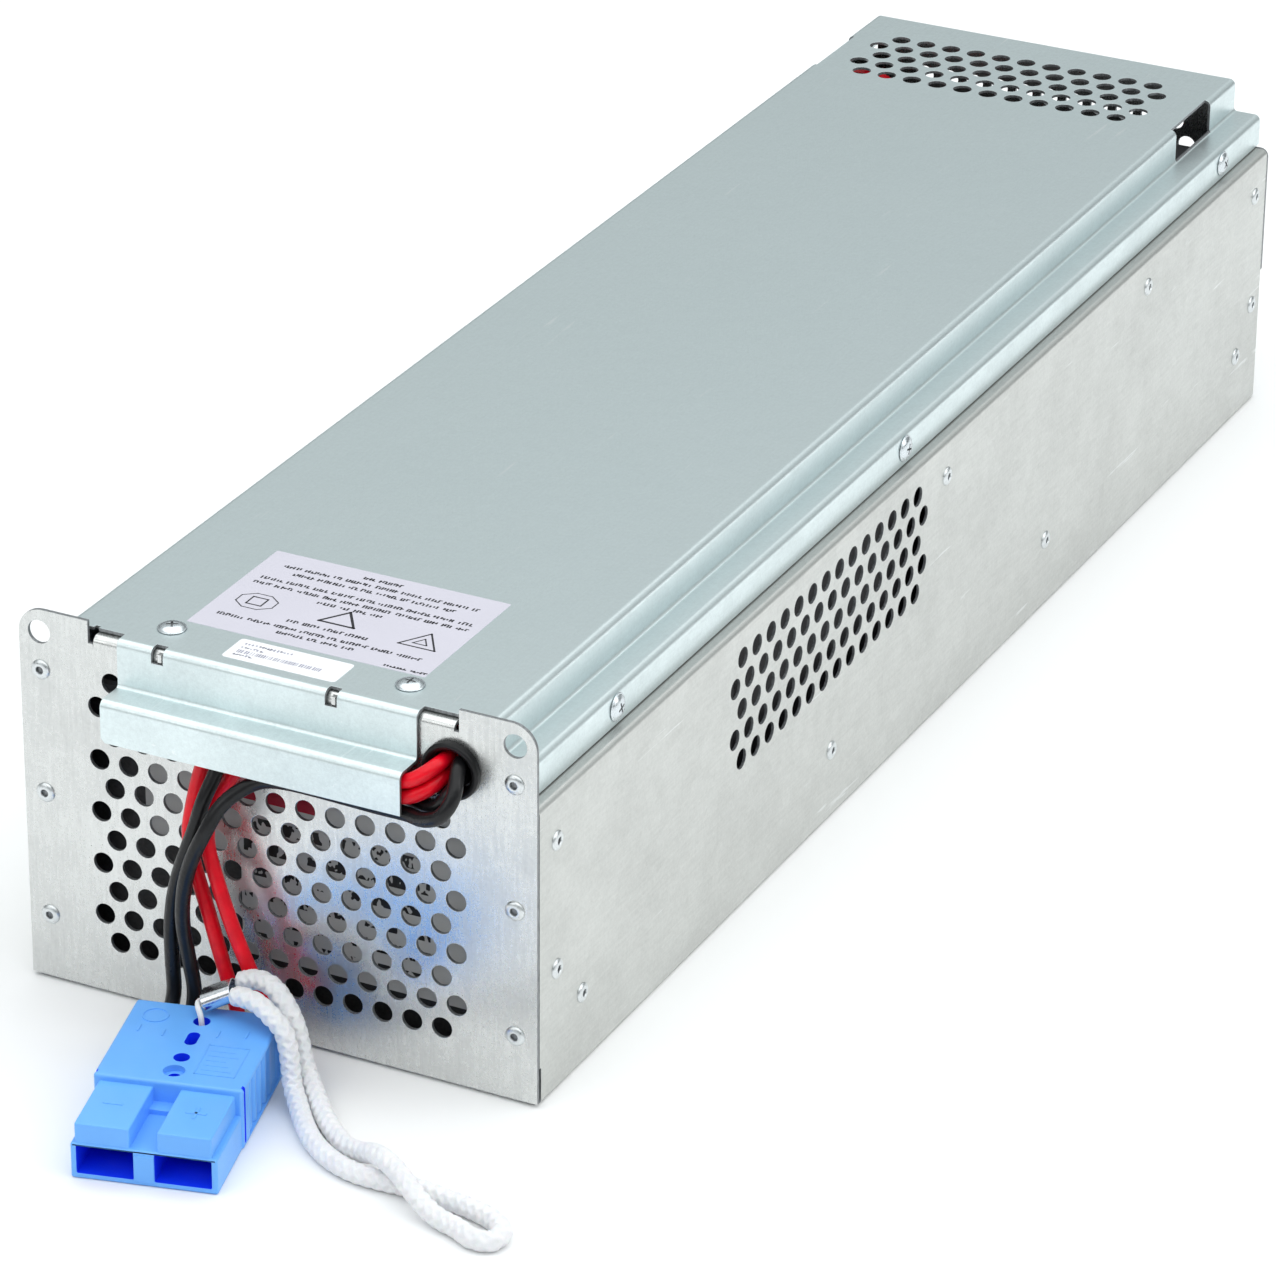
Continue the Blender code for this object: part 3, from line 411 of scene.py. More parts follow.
def bent(path, radius, steps=8):
    """An open path in a plane with its inner corners rounded."""
    points = [Vector(path[0])]
    for before, corner, after in zip(path, path[1:], path[2:]):
        corner = Vector(corner)
        back = (Vector(before) - corner).normalized()
        ahead = (Vector(after) - corner).normalized()
        half = back.angle(ahead) / 2
        centre = corner + (back + ahead).normalized() * radius / math.sin(half)
        first = corner + back * radius / math.tan(half) - centre
        last = corner + ahead * radius / math.tan(half) - centre
        sweep = first.angle_signed(last)
        for i in range(steps + 1):
            spoke = first.copy()
            spoke.rotate(Matrix.Rotation(-sweep * i / steps, 2))
            points.append(centre + spoke)
    points.append(Vector(path[-1]))
    return points


def folded(path, axis, low, high, thickness=1.0, radius=1.7):
    """A folded sheet: its mid-thickness path swept along X or Y. Cut edges take material 1."""
    line = bent(path, radius)
    sides = []
    for k, here in enumerate(line):
        back = (here - line[max(k - 1, 0)]).normalized() if k else None
        ahead = (line[min(k + 1, len(line) - 1)] - here).normalized() if k < len(line) - 1 else None
        heading = ((back or ahead) + (ahead or back)).normalized()
        spread = 1.0 / max(0.3, heading.dot(ahead or back))
        normal = Vector((-heading.y, heading.x)) * thickness / 2 * spread
        sides.append((here + normal, here - normal))
    bm = bmesh.new()
    rows = []
    for along in (low, high):
        row = []
        for pair in sides:
            row.append([
                bm.verts.new((p.x, along, p.y) if axis == "Y" else (along, p.x, p.y)) for p in pair
            ])
        rows.append(row)
    near, far = rows
    last = len(line) - 1
    for k in range(last):
        for s in (0, 1):
            bm.faces.new((near[k][s], near[k + 1][s], far[k + 1][s], far[k][s]))
        for row in rows:
            bm.faces.new((row[k][0], row[k][1], row[k + 1][1], row[k + 1][0])).material_index = 1
    for k in (0, last):
        bm.faces.new((near[k][0], far[k][0], far[k][1], near[k][1])).material_index = 1
    bmesh.ops.recalc_face_normals(bm, faces=bm.faces)
    return as_mesh(bm)


def plate(outline, y_low, y_high):
    """An upright plate with an outline in X and Z; its edge takes material 1."""
    bm = bmesh.new()
    face = bm.faces.new([bm.verts.new((x, y_low, z)) for x, z in outline])
    grown = bmesh.ops.extrude_face_region(bm, geom=[face])["geom"]
    shift = [v for v in grown if isinstance(v, bmesh.types.BMVert)]
    bmesh.ops.translate(bm, verts=shift, vec=(0, y_high - y_low, 0))
    bmesh.ops.recalc_face_normals(bm, faces=bm.faces)
    for face in bm.faces:
        face.material_index = 0 if abs(face.normal.y) > 0.5 else 1
    return as_mesh(bm)


def turned(profile, steps=32, closed=False):
    """A mesh turned about Z from (radius, height) points, first and last on the axis or closed."""
    bm = bmesh.new()
    rings = []
    for r, h in profile:
        if r < 1e-6:
            rings.append([bm.verts.new((0, 0, h))])
            continue
        rings.append([
            bm.verts.new((r * math.cos(2 * math.pi * i / steps), r * math.sin(2 * math.pi * i / steps), h))
            for i in range(steps)
        ])
    pairs = list(zip(rings, rings[1:]))
    if closed:
        pairs.append((rings[-1], rings[0]))
    for a, b in pairs:
        for i in range(steps):
            j = (i + 1) % steps
            ring = [a[i % len(a)], a[j % len(a)], b[j % len(b)], b[i % len(b)]]
            ring = [v for k, v in enumerate(ring) if v is not ring[k - 1]]
            bm.faces.new(ring)
    bmesh.ops.recalc_face_normals(bm, faces=bm.faces)
    return as_mesh(bm)


def soften(mesh, width, degrees=50.0):
    """Break the sharp edges a little."""
    bm = bmesh.new()
    bm.from_mesh(mesh)
    bmesh.ops.remove_doubles(bm, verts=bm.verts, dist=0.001)
    sharp = [e for e in bm.edges if len(e.link_faces) == 2 and e.calc_face_angle(0) > math.radians(degrees)]
    bmesh.ops.bevel(
        bm, geom=sharp, offset=width, segments=2, affect="EDGES", profile=0.5, clamp_overlap=False,
        material=-1,
    )
    bm.to_mesh(mesh)
    bm.free()
    return mesh


def even(mesh):
    """Weigh the normals by face area, so a flat face stays flat up to its bevels."""
    obj = bpy.data.objects.new("even", mesh)
    bpy.context.scene.collection.objects.link(obj)
    step = obj.modifiers.new("normals", "WEIGHTED_NORMAL")
    step.keep_sharp = True
    step.weight = 100
    graph = bpy.context.evaluated_depsgraph_get()
    made = bpy.data.meshes.new_from_object(obj.evaluated_get(graph))
    bpy.data.objects.remove(obj, do_unlink=True)
    return made


def piece(name, mesh, mats, nodes=(), smooth=32.0, place=None):
    """Put a mesh in the row frame as a finished piece that stands for CAD nodes, none of it below zero."""
    if place is not None:
        mesh.transform(place)
    for vert in mesh.vertices:
        vert.co.z = max(vert.co.z, 0.0)
    mesh.transform(TO_ROW)
    slots = [min(face.material_index, len(mats) - 1) for face in mesh.polygons]
    mesh.materials.clear()
    for mat in mats:
        mesh.materials.append(mat)
    mesh.polygons.foreach_set("material_index", slots)
    mesh.shade_smooth()
    mesh.set_sharp_from_angle(angle=math.radians(smooth))
    if smooth < 90:
        mesh = even(mesh)
    mesh.name = name
    obj = bpy.data.objects.new(name, mesh)
    bpy.context.scene.collection.objects.link(obj)
    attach(obj, "root")
    if nodes:
        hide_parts(*nodes)
    return obj


# ---------------------------------------------------------------- cables
def through(route, step):
    """Evenly spaced points on a smooth curve through the route (centripetal Catmull-Rom)."""
    pts = [Vector(p) for p in route]
    pts = [pts[0] * 2 - pts[1]] + pts + [pts[-1] * 2 - pts[-2]]
    fine = []
    for p0, p1, p2, p3 in zip(pts, pts[1:], pts[2:], pts[3:]):
        t1 = (p1 - p0).length ** 0.5
        t2 = t1 + (p2 - p1).length ** 0.5
        t3 = t2 + (p3 - p2).length ** 0.5
        for i in range(24):
            t = t1 + (t2 - t1) * i / 24
            a1 = p0.lerp(p1, t / t1)
            a2 = p1.lerp(p2, (t - t1) / (t2 - t1))
            a3 = p2.lerp(p3, (t - t2) / (t3 - t2))
            b1 = a1.lerp(a2, t / t2)
            b2 = a2.lerp(a3, (t - t1) / (t3 - t1))
            fine.append(b1.lerp(b2, (t - t1) / (t2 - t1)))
    fine.append(pts[-2])
    lengths = [0.0]
    for a, b in zip(fine, fine[1:]):
        lengths.append(lengths[-1] + (b - a).length)
    count = max(2, round(lengths[-1] / step))
    places = []
    k = 0
    for i in range(count + 1):
        want = lengths[-1] * i / count
        while k < len(fine) - 2 and lengths[k + 1] < want:
            k += 1
        part = (want - lengths[k]) / max(lengths[k + 1] - lengths[k], 1e-9)
        places.append(fine[k].lerp(fine[k + 1], min(part, 1.0)))
    return places, lengths[-1]


def tube(name, route, radius, mat, node, step=2.0):
    """A round cable as a curve; returns it with its length in metres."""
    places, length = through(route, step)
    curve = bpy.data.curves.new(name, "CURVE")
    curve.dimensions = "3D"
    curve.bevel_depth = radius * 0.001
    curve.bevel_resolution = 5
    curve.use_fill_caps = True
    spline = curve.splines.new("POLY")
    spline.points.add(len(places) - 1)
    for point, place in zip(spline.points, places):
        point.co = (*(TO_ROW @ place), 1.0)
    spline.use_smooth = True
    curve.materials.append(mat)
    obj = bpy.data.objects.new(name, curve)
    bpy.context.scene.collection.objects.link(obj)
    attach(obj, "root")
    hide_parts(node)
    return obj, length * 0.001


CABLE_R = 2.2
CABLES = {
    "cable_red_1": (RED, "red_insulation", [
        (54, 3, 103.5), (54, -1.5, 103.5), (53, -4.8, 102.8), (50.2, -7.3, 100.7), (46, -7.7, 98.4),
        (38, -7.8, 98.2), (0, -7.8, 98.2), (-10, -7.7, 98.2), (-14.2, -6.4, 97.8), (-17.6, -4.5, 95.6),
        (-19.4, -3.5, 91.5), (-20.8, -3.5, 86.5), (-22.2, -4.3, 80.5), (-23.4, -5.4, 73.5),
        (-24, -7, 65), (-22.4, -8, 57), (-19.3, -9, 48.5), (-16.7, -10, 42.5), (-12.8, -11.2, 32),
        (-9.8, -11.6, 23), (-6.9, -12.4, 15.5), (-4.5, -15.5, 10.6), (-3.2, -18.6, 9.5),
    ]),
    "cable_red_2": (RED, "red_insulation", [
        (54, 3, 98.5), (54, -2.2, 98.5), (53.2, -4.9, 97.5), (50, -6.8, 95.2), (46, -7.6, 93.5),
        (38, -7.8, 93.3), (2, -7.8, 93.3), (-4.6, -6.8, 92), (-8.8, -4.8, 88), (-12.4, -4.4, 82.6),
        (-16.6, -5.6, 76), (-17.9, -7.2, 67.3), (-16.8, -8.8, 62), (-14.9, -9.8, 57.4),
        (-11.3, -10.8, 48.3), (-7.6, -11.2, 38.9), (-3.4, -11.2, 29), (0.5, -10.6, 19.5),
        (2, -12.2, 13), (3.6, -16.9, 9.5),
    ]),
    "cable_black_1": (BLACK, "black_insulation", [
        (59, 3, 103.5), (59.2, -1.4, 103.5), (60.6, -5.4, 101.9), (61.4, -9.2, 97.4),
        (58.6, -11.4, 92.2), (52, -9.8, 88.9), (47, -7.9, 88.3), (38, -7.8, 88.3), (5, -7.8, 88.4),
        (-0.6, -8.4, 86.9), (-4.6, -10.4, 84.6), (-9.3, -13.8, 79.9), (-13.2, -16.9, 71.6),
        (-17, -18, 62.5), (-20, -17.6, 51.9), (-21.4, -16.2, 40.6), (-20.6, -15, 29.5),
        (-19, -15, 18.5), (-18.8, -17.6, 11.4), (-17.7, -22.3, 9.5),
    ]),
    "cable_black_2": (BLACK, "black_insulation", [
        (59, 3, 98.5), (59, -1.6, 98.5), (58.2, -5.4, 96), (54.4, -5.4, 91.6), (48, -3.4, 90.2),
        (42, -2.8, 91.2), (30, -2.7, 95), (18, -2.6, 98), (0, -2.6, 98.2), (-5.2, -2.8, 97.4),
        (-10, -4.4, 94.2), (-13.2, -6.2, 90), (-14.6, -8.7, 85), (-16.5, -11.4, 78.6),
        (-18.8, -13, 69.5), (-21.9, -13.6, 60.5), (-24.6, -13.8, 51.4), (-26.4, -14, 40.1),
        (-26.6, -14, 27), (-25.8, -15, 16.5), (-25.4, -19, 10.8), (-24.5, -24.1, 9.5),
    ]),
}
for cable_name, (cable_mat, cable_slot, cable_route) in CABLES.items():
    tube(
        cable_name.replace("cable", "lead"), cable_route, CABLE_R, cable_mat, cable_name
    )

ROPE_R = 2.85
TIE_R = 0.85
FLOOR_GAP = 0.15            # room for the braid's bulges between the rope and the floor
ROPE_ROUTE = [
    (-1.4, -23.6, 26.4), (3.0, -24.4, 27.2), (8.0, -25.2, 26.8), (12.4, -26.2, 24.8),
    (16.6, -27.0, 21.8), (18.6, -27.6, 17.0), (20.0, -28.8, 11.8), (21.8, -31.0, 7.2),
    (25.6, -34.8, 4.3), (30.6, -40.6, 3.1), (38.2, -48.4, 3.0), (48.0, -54.6, 3.0),
    (57.3, -57.2, 3.0), (66.5, -57.2, 3.0), (76.0, -56.6, 3.0), (86.0, -57.8, 3.0),
    (95.0, -59.2, 3.0), (101.6, -61.6, 3.0), (106.0, -65.6, 3.0), (105.6, -70.6, 3.0),
    (100.6, -72.0, 3.0), (94.1, -69.2, 3.0), (88.0, -67.6, 3.2), (83.0, -66.0, 4.5),
    (78.0, -63.8, 6.6), (73.0, -61.0, 8.4), (68.0, -58.0, 9.2), (63.5, -55.2, 8.9),
    (59.0, -52.4, 7.4), (54.0, -49.6, 4.9), (48.0, -46.8, 3.3), (42.0, -42.4, 3.0),
    (35.2, -36.2, 3.1), (28.4, -29.0, 4.4), (23.4, -24.6, 7.2), (20.2, -22.2, 11.2),
    (18.4, -21.0, 16.0), (16.6, -20.6, 21.0), (13.6, -19.8, 25.4), (9.8, -18.2, 28.0),
    (5.5, -16.8, 29.0), (1.0, -16.2, 28.4), (-3.6, -17.2, 26.6),
]
PULL_ROUTE = [
    (-8.3, -29.1, 9), (-8.3, -29.1, 17), (-8.9, -28.7, 20.4), (-10.6, -27.2, 22.2),
    (-11.6, -25, 22.4), (-10.9, -23.5, 22.6), (-9.2, -22.8, 23.2), (-7.4, -22.1, 24.1),
]
CRIMP_AT = Vector((-6.6, -21.8, 24.4))


def cotton():
    """Braid fibre: white, soft and slightly shaded in its valleys."""
    s = Shader("braided rope", (0.90, 0.90, 0.915), 0.85, 0.0, Sheen_Weight=0.3)
    s.out.inputs["Subsurface Weight"].default_value = 0.12
    s.out.inputs["Subsurface Scale"].default_value = 0.001
    fibre = s.noise((3.5, 3.5, 3.5), 4.0, 0.7)
    dirt = s.noise((0.12, 0.12, 0.12), 3.0)
    base = s.blend(s.remap(dirt, 0.3, 0.75, 0, 1), (0.93, 0.93, 0.94), (0.82, 0.83, 0.86))
    base = s.blend(s.remap(fibre, 0.3, 0.6, 0.35, 0.0), base, (0.70, 0.71, 0.76))
    return s.use(Base_Color=base, Normal=s.bump(fibre, 0.20, 1.0))


COTTON = cotton()


def braid(route, radius, step, around, plait, depth):
    """A braided tube: two families of helical strands passing over and under each other."""
    places, length = through(route, step)
    for here in places:
        here.z = max(here.z, radius + FLOOR_GAP)
    tangents = [(b - a).normalized() for a, b in zip(places, places[1:])]
    tangents.append(tangents[-1])
    across = tangents[0].cross(Vector((0, 0, 1))).normalized()
    bm = bmesh.new()
    rings = []
    for k, (here, along) in enumerate(zip(places, tangents)):
        across = (across - along * across.dot(along)).normalized()
        over = along.cross(across)
        end = min(k, len(places) - 1 - k)
        close = min(1.0, 0.55 + 0.45 * end / 3)
        ring = []
        for i in range(around):
            angle = 2 * math.pi * i / around
            turn = angle * 4 / (2 * math.pi)
            run = k * step / plait
            one = math.cos(math.pi * (turn + run))
            two = math.cos(math.pi * (turn - run))
            ups = math.sin(math.pi * (turn + run)) * math.sin(math.pi * (turn - run))
            first = one * one + 0.35 * ups
            second = two * two - 0.35 * ups
            bulge = max(first, second) - 0.72
            r = radius * close * (0.96 + depth * bulge)
            ring.append(bm.verts.new(here + (across * math.cos(angle) + over * math.sin(angle)) * r))
        rings.append(ring)
    for a, b in zip(rings, rings[1:]):
        for i in range(around):
            j = (i + 1) % around
            bm.faces.new((a[i], a[j], b[j], b[i]))
    bm.faces.new(list(reversed(rings[0])))
    bm.faces.new(rings[-1])
    bmesh.ops.recalc_face_normals(bm, faces=bm.faces)
    skip = max(1, len(places) // 60)
    path = [list(TO_ROW @ p) for p in places[:-skip:skip] + places[-1:]]
    return as_mesh(bm), path, length * 0.001


rope_mesh, rope_path, rope_length = braid(ROPE_ROUTE, ROPE_R, 0.40, 40, 3.3, 0.30)
rope = piece("rope_pull", rope_mesh, [COTTON], ["pull_rope"], smooth=180)
pull_mesh = braid(PULL_ROUTE, TIE_R, 0.25, 16, 1.1, 0.16)[0]
pull = piece("rope_tie", pull_mesh, [COTTON], ["pull_cord"], smooth=180)


def crimp_ring():
    """A flattened metal band round the rope's two ends."""
    half_width, half_length = 1.6, 4.6
    bm = bmesh.new()
    rings = []
    for radius, end in ((2.75, -1), (2.75, 1), (2.25, 1), (2.25, -1)):
        points = arc((half_width, 0.0), radius, -90, 90, 10) + arc((-half_width, 0.0), radius, 90, 270, 10)
        rings.append([bm.verts.new((u, w, end * half_length)) for u, w in points])
    for a, b in zip(rings, rings[1:] + rings[:1]):
        for i in range(len(a)):
            j = (i + 1) % len(a)
            bm.faces.new((a[i], a[j], b[j], b[i]))
    bmesh.ops.recalc_face_normals(bm, faces=bm.faces)
    axis = Vector((4.6, 1.6, 2.4)).normalized()
    flat = Vector((-1.6, 4.6, 0.0)).normalized()
    turn = Matrix((flat, axis.cross(flat), axis)).transposed().to_4x4()
    place = Matrix.Translation(CRIMP_AT) @ turn
    return piece("rope_band", soften(as_mesh(bm), 0.15), [CRIMP], ["rope_crimp"], place=place)


band = crimp_ring()


# ---------------------------------------------------------------- connector
CONNECTOR = Matrix.Translation((6.1, -85.5, 0.0)) @ Matrix.Rotation(math.radians(14.3), 4, "Z")


def connector():
    """Two-pole housing: open mouth with a web, two hoods, a body with finger grips behind."""
    shell = box((-21.4, 24, 0), (21.4, 66.7, 19), 1.0, 3)
    shell = join(
        shell,
        box((-20.9, 0, 0), (20.9, 26, 11), 0.7, 3),
        box((-19.7, 0.6, 8.6), (-4.1, 26, 17.1), 0.5, 3),
        box((3.7, 0.6, 8.6), (19.2, 26, 17.1), 0.5, 3),
        box((-4.6, 19.5, 9), (4.2, 26, 12.6), 0.4, 2),
    )
    for side in (-1, 1):
        # waist with finger grips
        a, b = sorted((side * 20.0, side * 24.0))
        shell = cut(shell, box((a, 30.5, 1.2), (b, 62, 17.6), 0.8, 3))
        for y in (33.4, 38.4, 43.4, 48.4, 53.4):
            grip = prisms([(side * 19.6, y, 9.4)], 1.45, 16.0, "Z", 14, 0)
            shell = join(shell, grip)
        # seam behind the mouth; its walls take the darker blue as painted shade
        a, b = sorted((side * 20.6, side * 23))
        shell = cut(shell, box((a, 25.5, 1.5), (b, 26.9, 22), 0, 1, 1))
        # chambers; their walls take the darker blue as painted shade and interreflection
        a, b = sorted((side * 3.0, side * 19.2))
        shell = cut(shell, box((a, -2, 1.7), (b, 24, 10.6), 0.3, 1, 1))
        # rear wire holes; their walls take the darker blue as painted shade
        for x in (7.5, 14.5):
            shell = cut(shell, prisms([(side * x, 66.7, 9.5)], 2.7, 16, "Y", 24))
    # top holes and slot; their walls take the darker blue as painted shade, while the counterbore keeps the
    # plain blue
    shell = cut(
        shell,
        prisms([(0, 58.2, 9.5)], 2.4, 30, "Z", 24),
        prisms([(0, 38.0, 9.5)], 2.3, 30, "Z", 24),
        prisms([(0, 30.6, 9.5)], 1.8, 30, "Z", 24),
        prisms([(0, 30.6, 19.0)], 3.1, 4, "Z", 28, 0),
        join(
            box((-1.7, 46.7, -3), (1.7, 50.3, 24), 0, 1, 1),
            prisms([(0, 46.7, 10.5), (0, 50.3, 10.5)], 1.7, 27, "Z", 20),
        ),
    )
    # shallow moulded marks: polarity on the hoods, a date ring, tool dashes and a blank panel
    marks = [
        box((-15.2, 12.4, 16.9), (-9.4, 13.4, 17.35), 0.1, 1),
        box((8.4, 12.4, 16.9), (14.4, 13.4, 17.35), 0.1, 1),
        box((10.9, 9.9, 16.9), (11.9, 15.9, 17.35), 0.1, 1),
        moved(turned([(3.4, -0.3), (3.4, 0.25), (3.9, 0.25), (3.9, -0.3)], 36, True),
              Matrix.Translation((-13.6, 58.6, 19.0))),
        box((-16.4, 49.0, 18.9), (-15.8, 52.6, 19.3), 0.1, 1),
        box((-9.0, 48.0, 18.9), (-8.4, 51.6, 19.3), 0.1, 1),
        box((6.2, 50.4, 18.9), (6.8, 54.0, 19.3), 0.1, 1),
        box((14.2, 51.6, 18.9), (14.8, 55.2, 19.3), 0.1, 1),
    ]
    for low, high in (((5.6, 46.0), (17.4, 46.3)), ((5.6, 30.2), (17.4, 30.5)),
                      ((5.6, 30.2), (5.9, 46.3)), ((17.1, 30.2), (17.4, 46.3))):
        marks.append(box((*low, 18.9), (*high, 19.14)))
    for k in range(5):
        marks.append(box((7.0, 32.6 + 2.6 * k, 18.9), (15.6 - 1.4 * (k % 3), 33.2 + 2.6 * k, 19.1)))
    # web face between the two chambers
    marks.append(box((-2.9, -0.25, 1.2), (2.9, 1.4, 9.6), 0.25, 2))
    shell = soften(shell, 0.16, 60)
    mesh = together([shell] + marks)
    return piece(
        "connector_shell", mesh, [BLUE, BLUE_PAINTED_RECESS_SHADE], ["connector_housing"],
        smooth=35, place=CONNECTOR,
    )


shell = connector()
for side, word in ((-1, "minus"), (1, "plus")):
    a, b = sorted((side * 6.0, side * 16.0))
    blade = box((a, 11.0, 4.2), (b, 23.7, 6.4), 0.5, 3)
    piece(f"blade_{word}", blade, [SILVER], [f"contact_{word}"], place=CONNECTOR)

# ---------------------------------------------------------------- sheet metal
PITCH = 9.525
ROW_PITCH = 8.33
HOLE_R = 3.2
HANDLE_X = (-49.5, 46.0)
HOOK_X = (-36.4, 19.1)
GROMMET = (56.5, 101.0)
TOP_Z = 116.4
SKIRT_SCREW_Y = (56.5, 252.0, 515.0)
TOP_SCREW_X = (-39.6, 36.5)


def staggered(rows, wide, middle, up):
    """Centres of a staggered field: odd rows have one hole more than even rows."""
    places = []
    for r in range(rows):
        count = wide if r % 2 else wide - 1
        for i in range(count):
            places.append((middle + (i - (count - 1) / 2) * PITCH, up + (r - (rows - 1) / 2) * ROW_PITCH))
    return places


def front_sheet():
    """Perforated front plate with two screw ears, a folded top edge and foot, and two hook tabs."""
    half, ear_r, ear_z, fold_z = 82.5, 8.0, 119.7, 115.1
    outline = [(-half, 1.2), (half, 1.2)]
    outline += arc((half - ear_r, ear_z - ear_r), ear_r, 0, 90, 14)
    outline += [(58.4, ear_z), (58.4, fold_z - 2.3), (-59.6, fold_z - 2.3), (-59.6, ear_z)]
    outline += arc((ear_r - half, ear_z - ear_r), ear_r, 90, 180, 14)
    sheet = plate(outline, 0.0, 1.2)
    mid = 0.6
    top = [(mid, fold_z - 4.0), (mid, fold_z - mid), (20.0, fold_z - mid)]
    foot = [(mid, 6.0), (mid, mid), (14.0, mid)]
    sheet = join(sheet, folded(top, "X", -58.0, 56.9, 1.2), folded(foot, "X", -80.6, 80.6, 1.2))
    for x in HOOK_X:
        sheet = join(sheet, box((x - 0.2, -0.8, fold_z - 2.8), (x + 1.2, 1.0, fold_z - 0.4), 0.1, 1))
    holes = []
    for x, z in staggered(11, 13, 0.0, 18.2 + 5 * ROW_PITCH):
        under_flap = z > 97.5 and x > HANDLE_X[0]
        by_grommet = math.hypot(x - GROMMET[0], z - GROMMET[1]) < 12.5
        if not under_flap and not by_grommet:
            holes.append((x, mid, z))
    sheet = cut(
        sheet,
        prisms(holes, HOLE_R, 6, "Y", 24),
        prisms([(-75.75, mid, 112.6), (75.75, mid, 112.6)], 3.6, 6, "Y", 32),
        prisms([(GROMMET[0], mid, GROMMET[1])], 7.65, 6, "Y", 40),
        prisms([(x, 12.6, fold_z) for x in TOP_SCREW_X], 2.1, 6, "Z", 16),
    )
    return piece("front_sheet", soften(sheet, 0.13), [ZINC_Z, EDGE_AND_RECESS_SHADE], ["front_plate"])


def rear_sheet():
    """Rear plate with stepped shoulders and a small vent."""
    half, step, shoulder, neck, corner = 82.5, 93.8, 75.4, 66.4, 3.0
    right = [(half - 1, 0.0), (half - 1, 48.0), (half, 49.0)]
    right += arc((half - corner, step - corner), corner, 0, 90, 8)
    right += [(shoulder, step), (shoulder, 103.6), (neck, 103.6), (neck, 115.0)]
    outline = right + [(-x, z) for x, z in reversed(right)]
    sheet = plate(outline, CASE_L - 1.2, CASE_L)
    mid = CASE_L - 0.6
    foot = [(mid, 6.0), (mid, 0.6), (mid - 14.0, 0.6)]
    holes = [(x, mid, z) for x, z in staggered(3, 12, 0.0, 90.0)]
    sheet = join(sheet, folded(foot, "X", -71, 71, 1.2))
    sheet = cut(sheet, prisms(holes, HOLE_R, 6, "Y", 24))
    return piece("rear_sheet", soften(sheet, 0.13), [ZINC_Z, EDGE_AND_RECESS_SHADE], ["rear_plate"])


def side_sheet(side, name):
    """Side panel: a foot, a wide lower face with a vent, a step and a narrow upper strip."""
    outer, strip = side * 82.0, side * 76.4
    path = [(side * 72, 0.5), (outer, 0.5), (outer, 93.3), (strip, 93.3), (strip, 102.8)]
    sheet = folded(path, "Y", 1.5, CASE_L - 1.5, 1.0, 1.3)
    holes = [(outer, y, z) for y, z in staggered(5, 15, 191.5, 66.8)]
    a, b = sorted((outer - side * 0.9, side * 90))
    sheet = cut(
        sheet,
        prisms(holes, HOLE_R, 6, "X", 24),
        prisms([(strip, y, 99.6) for y in SKIRT_SCREW_Y], 2.1, 6, "X", 16),
        box((a, -1, -2), (b, 2.4, 12), 0, 1, 1),
    )
    nodes = [f"{name}_side_panel"]
    # The side sheets take the darker copy of the galvanised finish, as painted shade.
    return piece(f"{name}_sheet", soften(sheet, 0.13), [ZINC_PAINTED_SIDE_SHADE, EDGE_AND_RECESS_SHADE], nodes)


def cover_sheet():
    """Hat-section cover with the handle folded from its front edge."""
    skirt, wall, ledge, top = 77.7, 67.9, 104.5, TOP_Z - 0.5
    y_high = CASE_L + 1.3
    half = [(skirt, 94.2), (skirt, ledge), (wall, ledge), (wall, top)]
    sheet = folded(half + [(-x, z) for x, z in reversed(half)], "Y", 1.5, y_high)
    sheet = cut(sheet, box((-66, -1, top - 3), (66, 3.4, top + 3), 0, 1, 1))
    flap, shelf, lip = -0.8, 101.5, -10.8
    fold = [(9.0, top), (flap, top), (flap, shelf), (lip, shelf), (lip, 89.0)]
    rear = [(CASE_L - 6, top), (y_high - 0.5, top), (y_high - 0.5, 103.5)]
    sheet = join(sheet, folded(fold, "X", *HANDLE_X), folded(rear, "X", -65.5, 65.5, 1.0, 1.2))
    tools = []
    for x in HOOK_X:
        tools.append(box((x - 1.85, -4, 112), (x + 1.85, 2.2, 120), 0, 1, 1))
    for side in (-1, 1):
        a, b = sorted((side * 66.2, side * 74.0))
        tools.append(box((a, 496, 105.2), (b, 527, 120), 0, 1, 1))
        tools.append(prisms([(side * skirt, y, 99.6) for y in SKIRT_SCREW_Y], 2.1, 6, "X", 16))
        # end slits of the front bend
        x = -58.8 if side < 0 else 57.65
        tools.append(box((x - 0.75, -2, 114.6), (x + 0.75, 4.6, 120), 0, 1, 1))
    tools.append(prisms([(x, 12.6, top) for x in TOP_SCREW_X], 2.1, 6, "Z", 16))
    tools.append(prisms([(x, y, top) for x, y in staggered(5, 12, -2.3, 514.6)], HOLE_R, 6, "Z", 24))
    # clipped lower corner of the lip
    nick = moved(box((-1.2, -4, -1.2), (1.2, 4, 1.2), 0, 1, 1), Matrix.Rotation(math.pi / 4, 4, "Y"))
    tools.append(moved(nick, Matrix.Translation((HANDLE_X[0] - 0.2, lip, 88.8))))
    sheet = cut(sheet, *tools)
    nodes = ["top_cover", "handle_fold"]
    # The cover and handle take the bluish copy of the galvanised finish, as a painted sky reflection.
    return piece("cover_sheet", soften(sheet, 0.13), [ZINC_PAINTED_SKY_TINT, EDGE_AND_RECESS_SHADE], nodes)


front_sheet()
rear_sheet()
side_sheet(1, "right")
side_sheet(-1, "left")
cover_sheet()


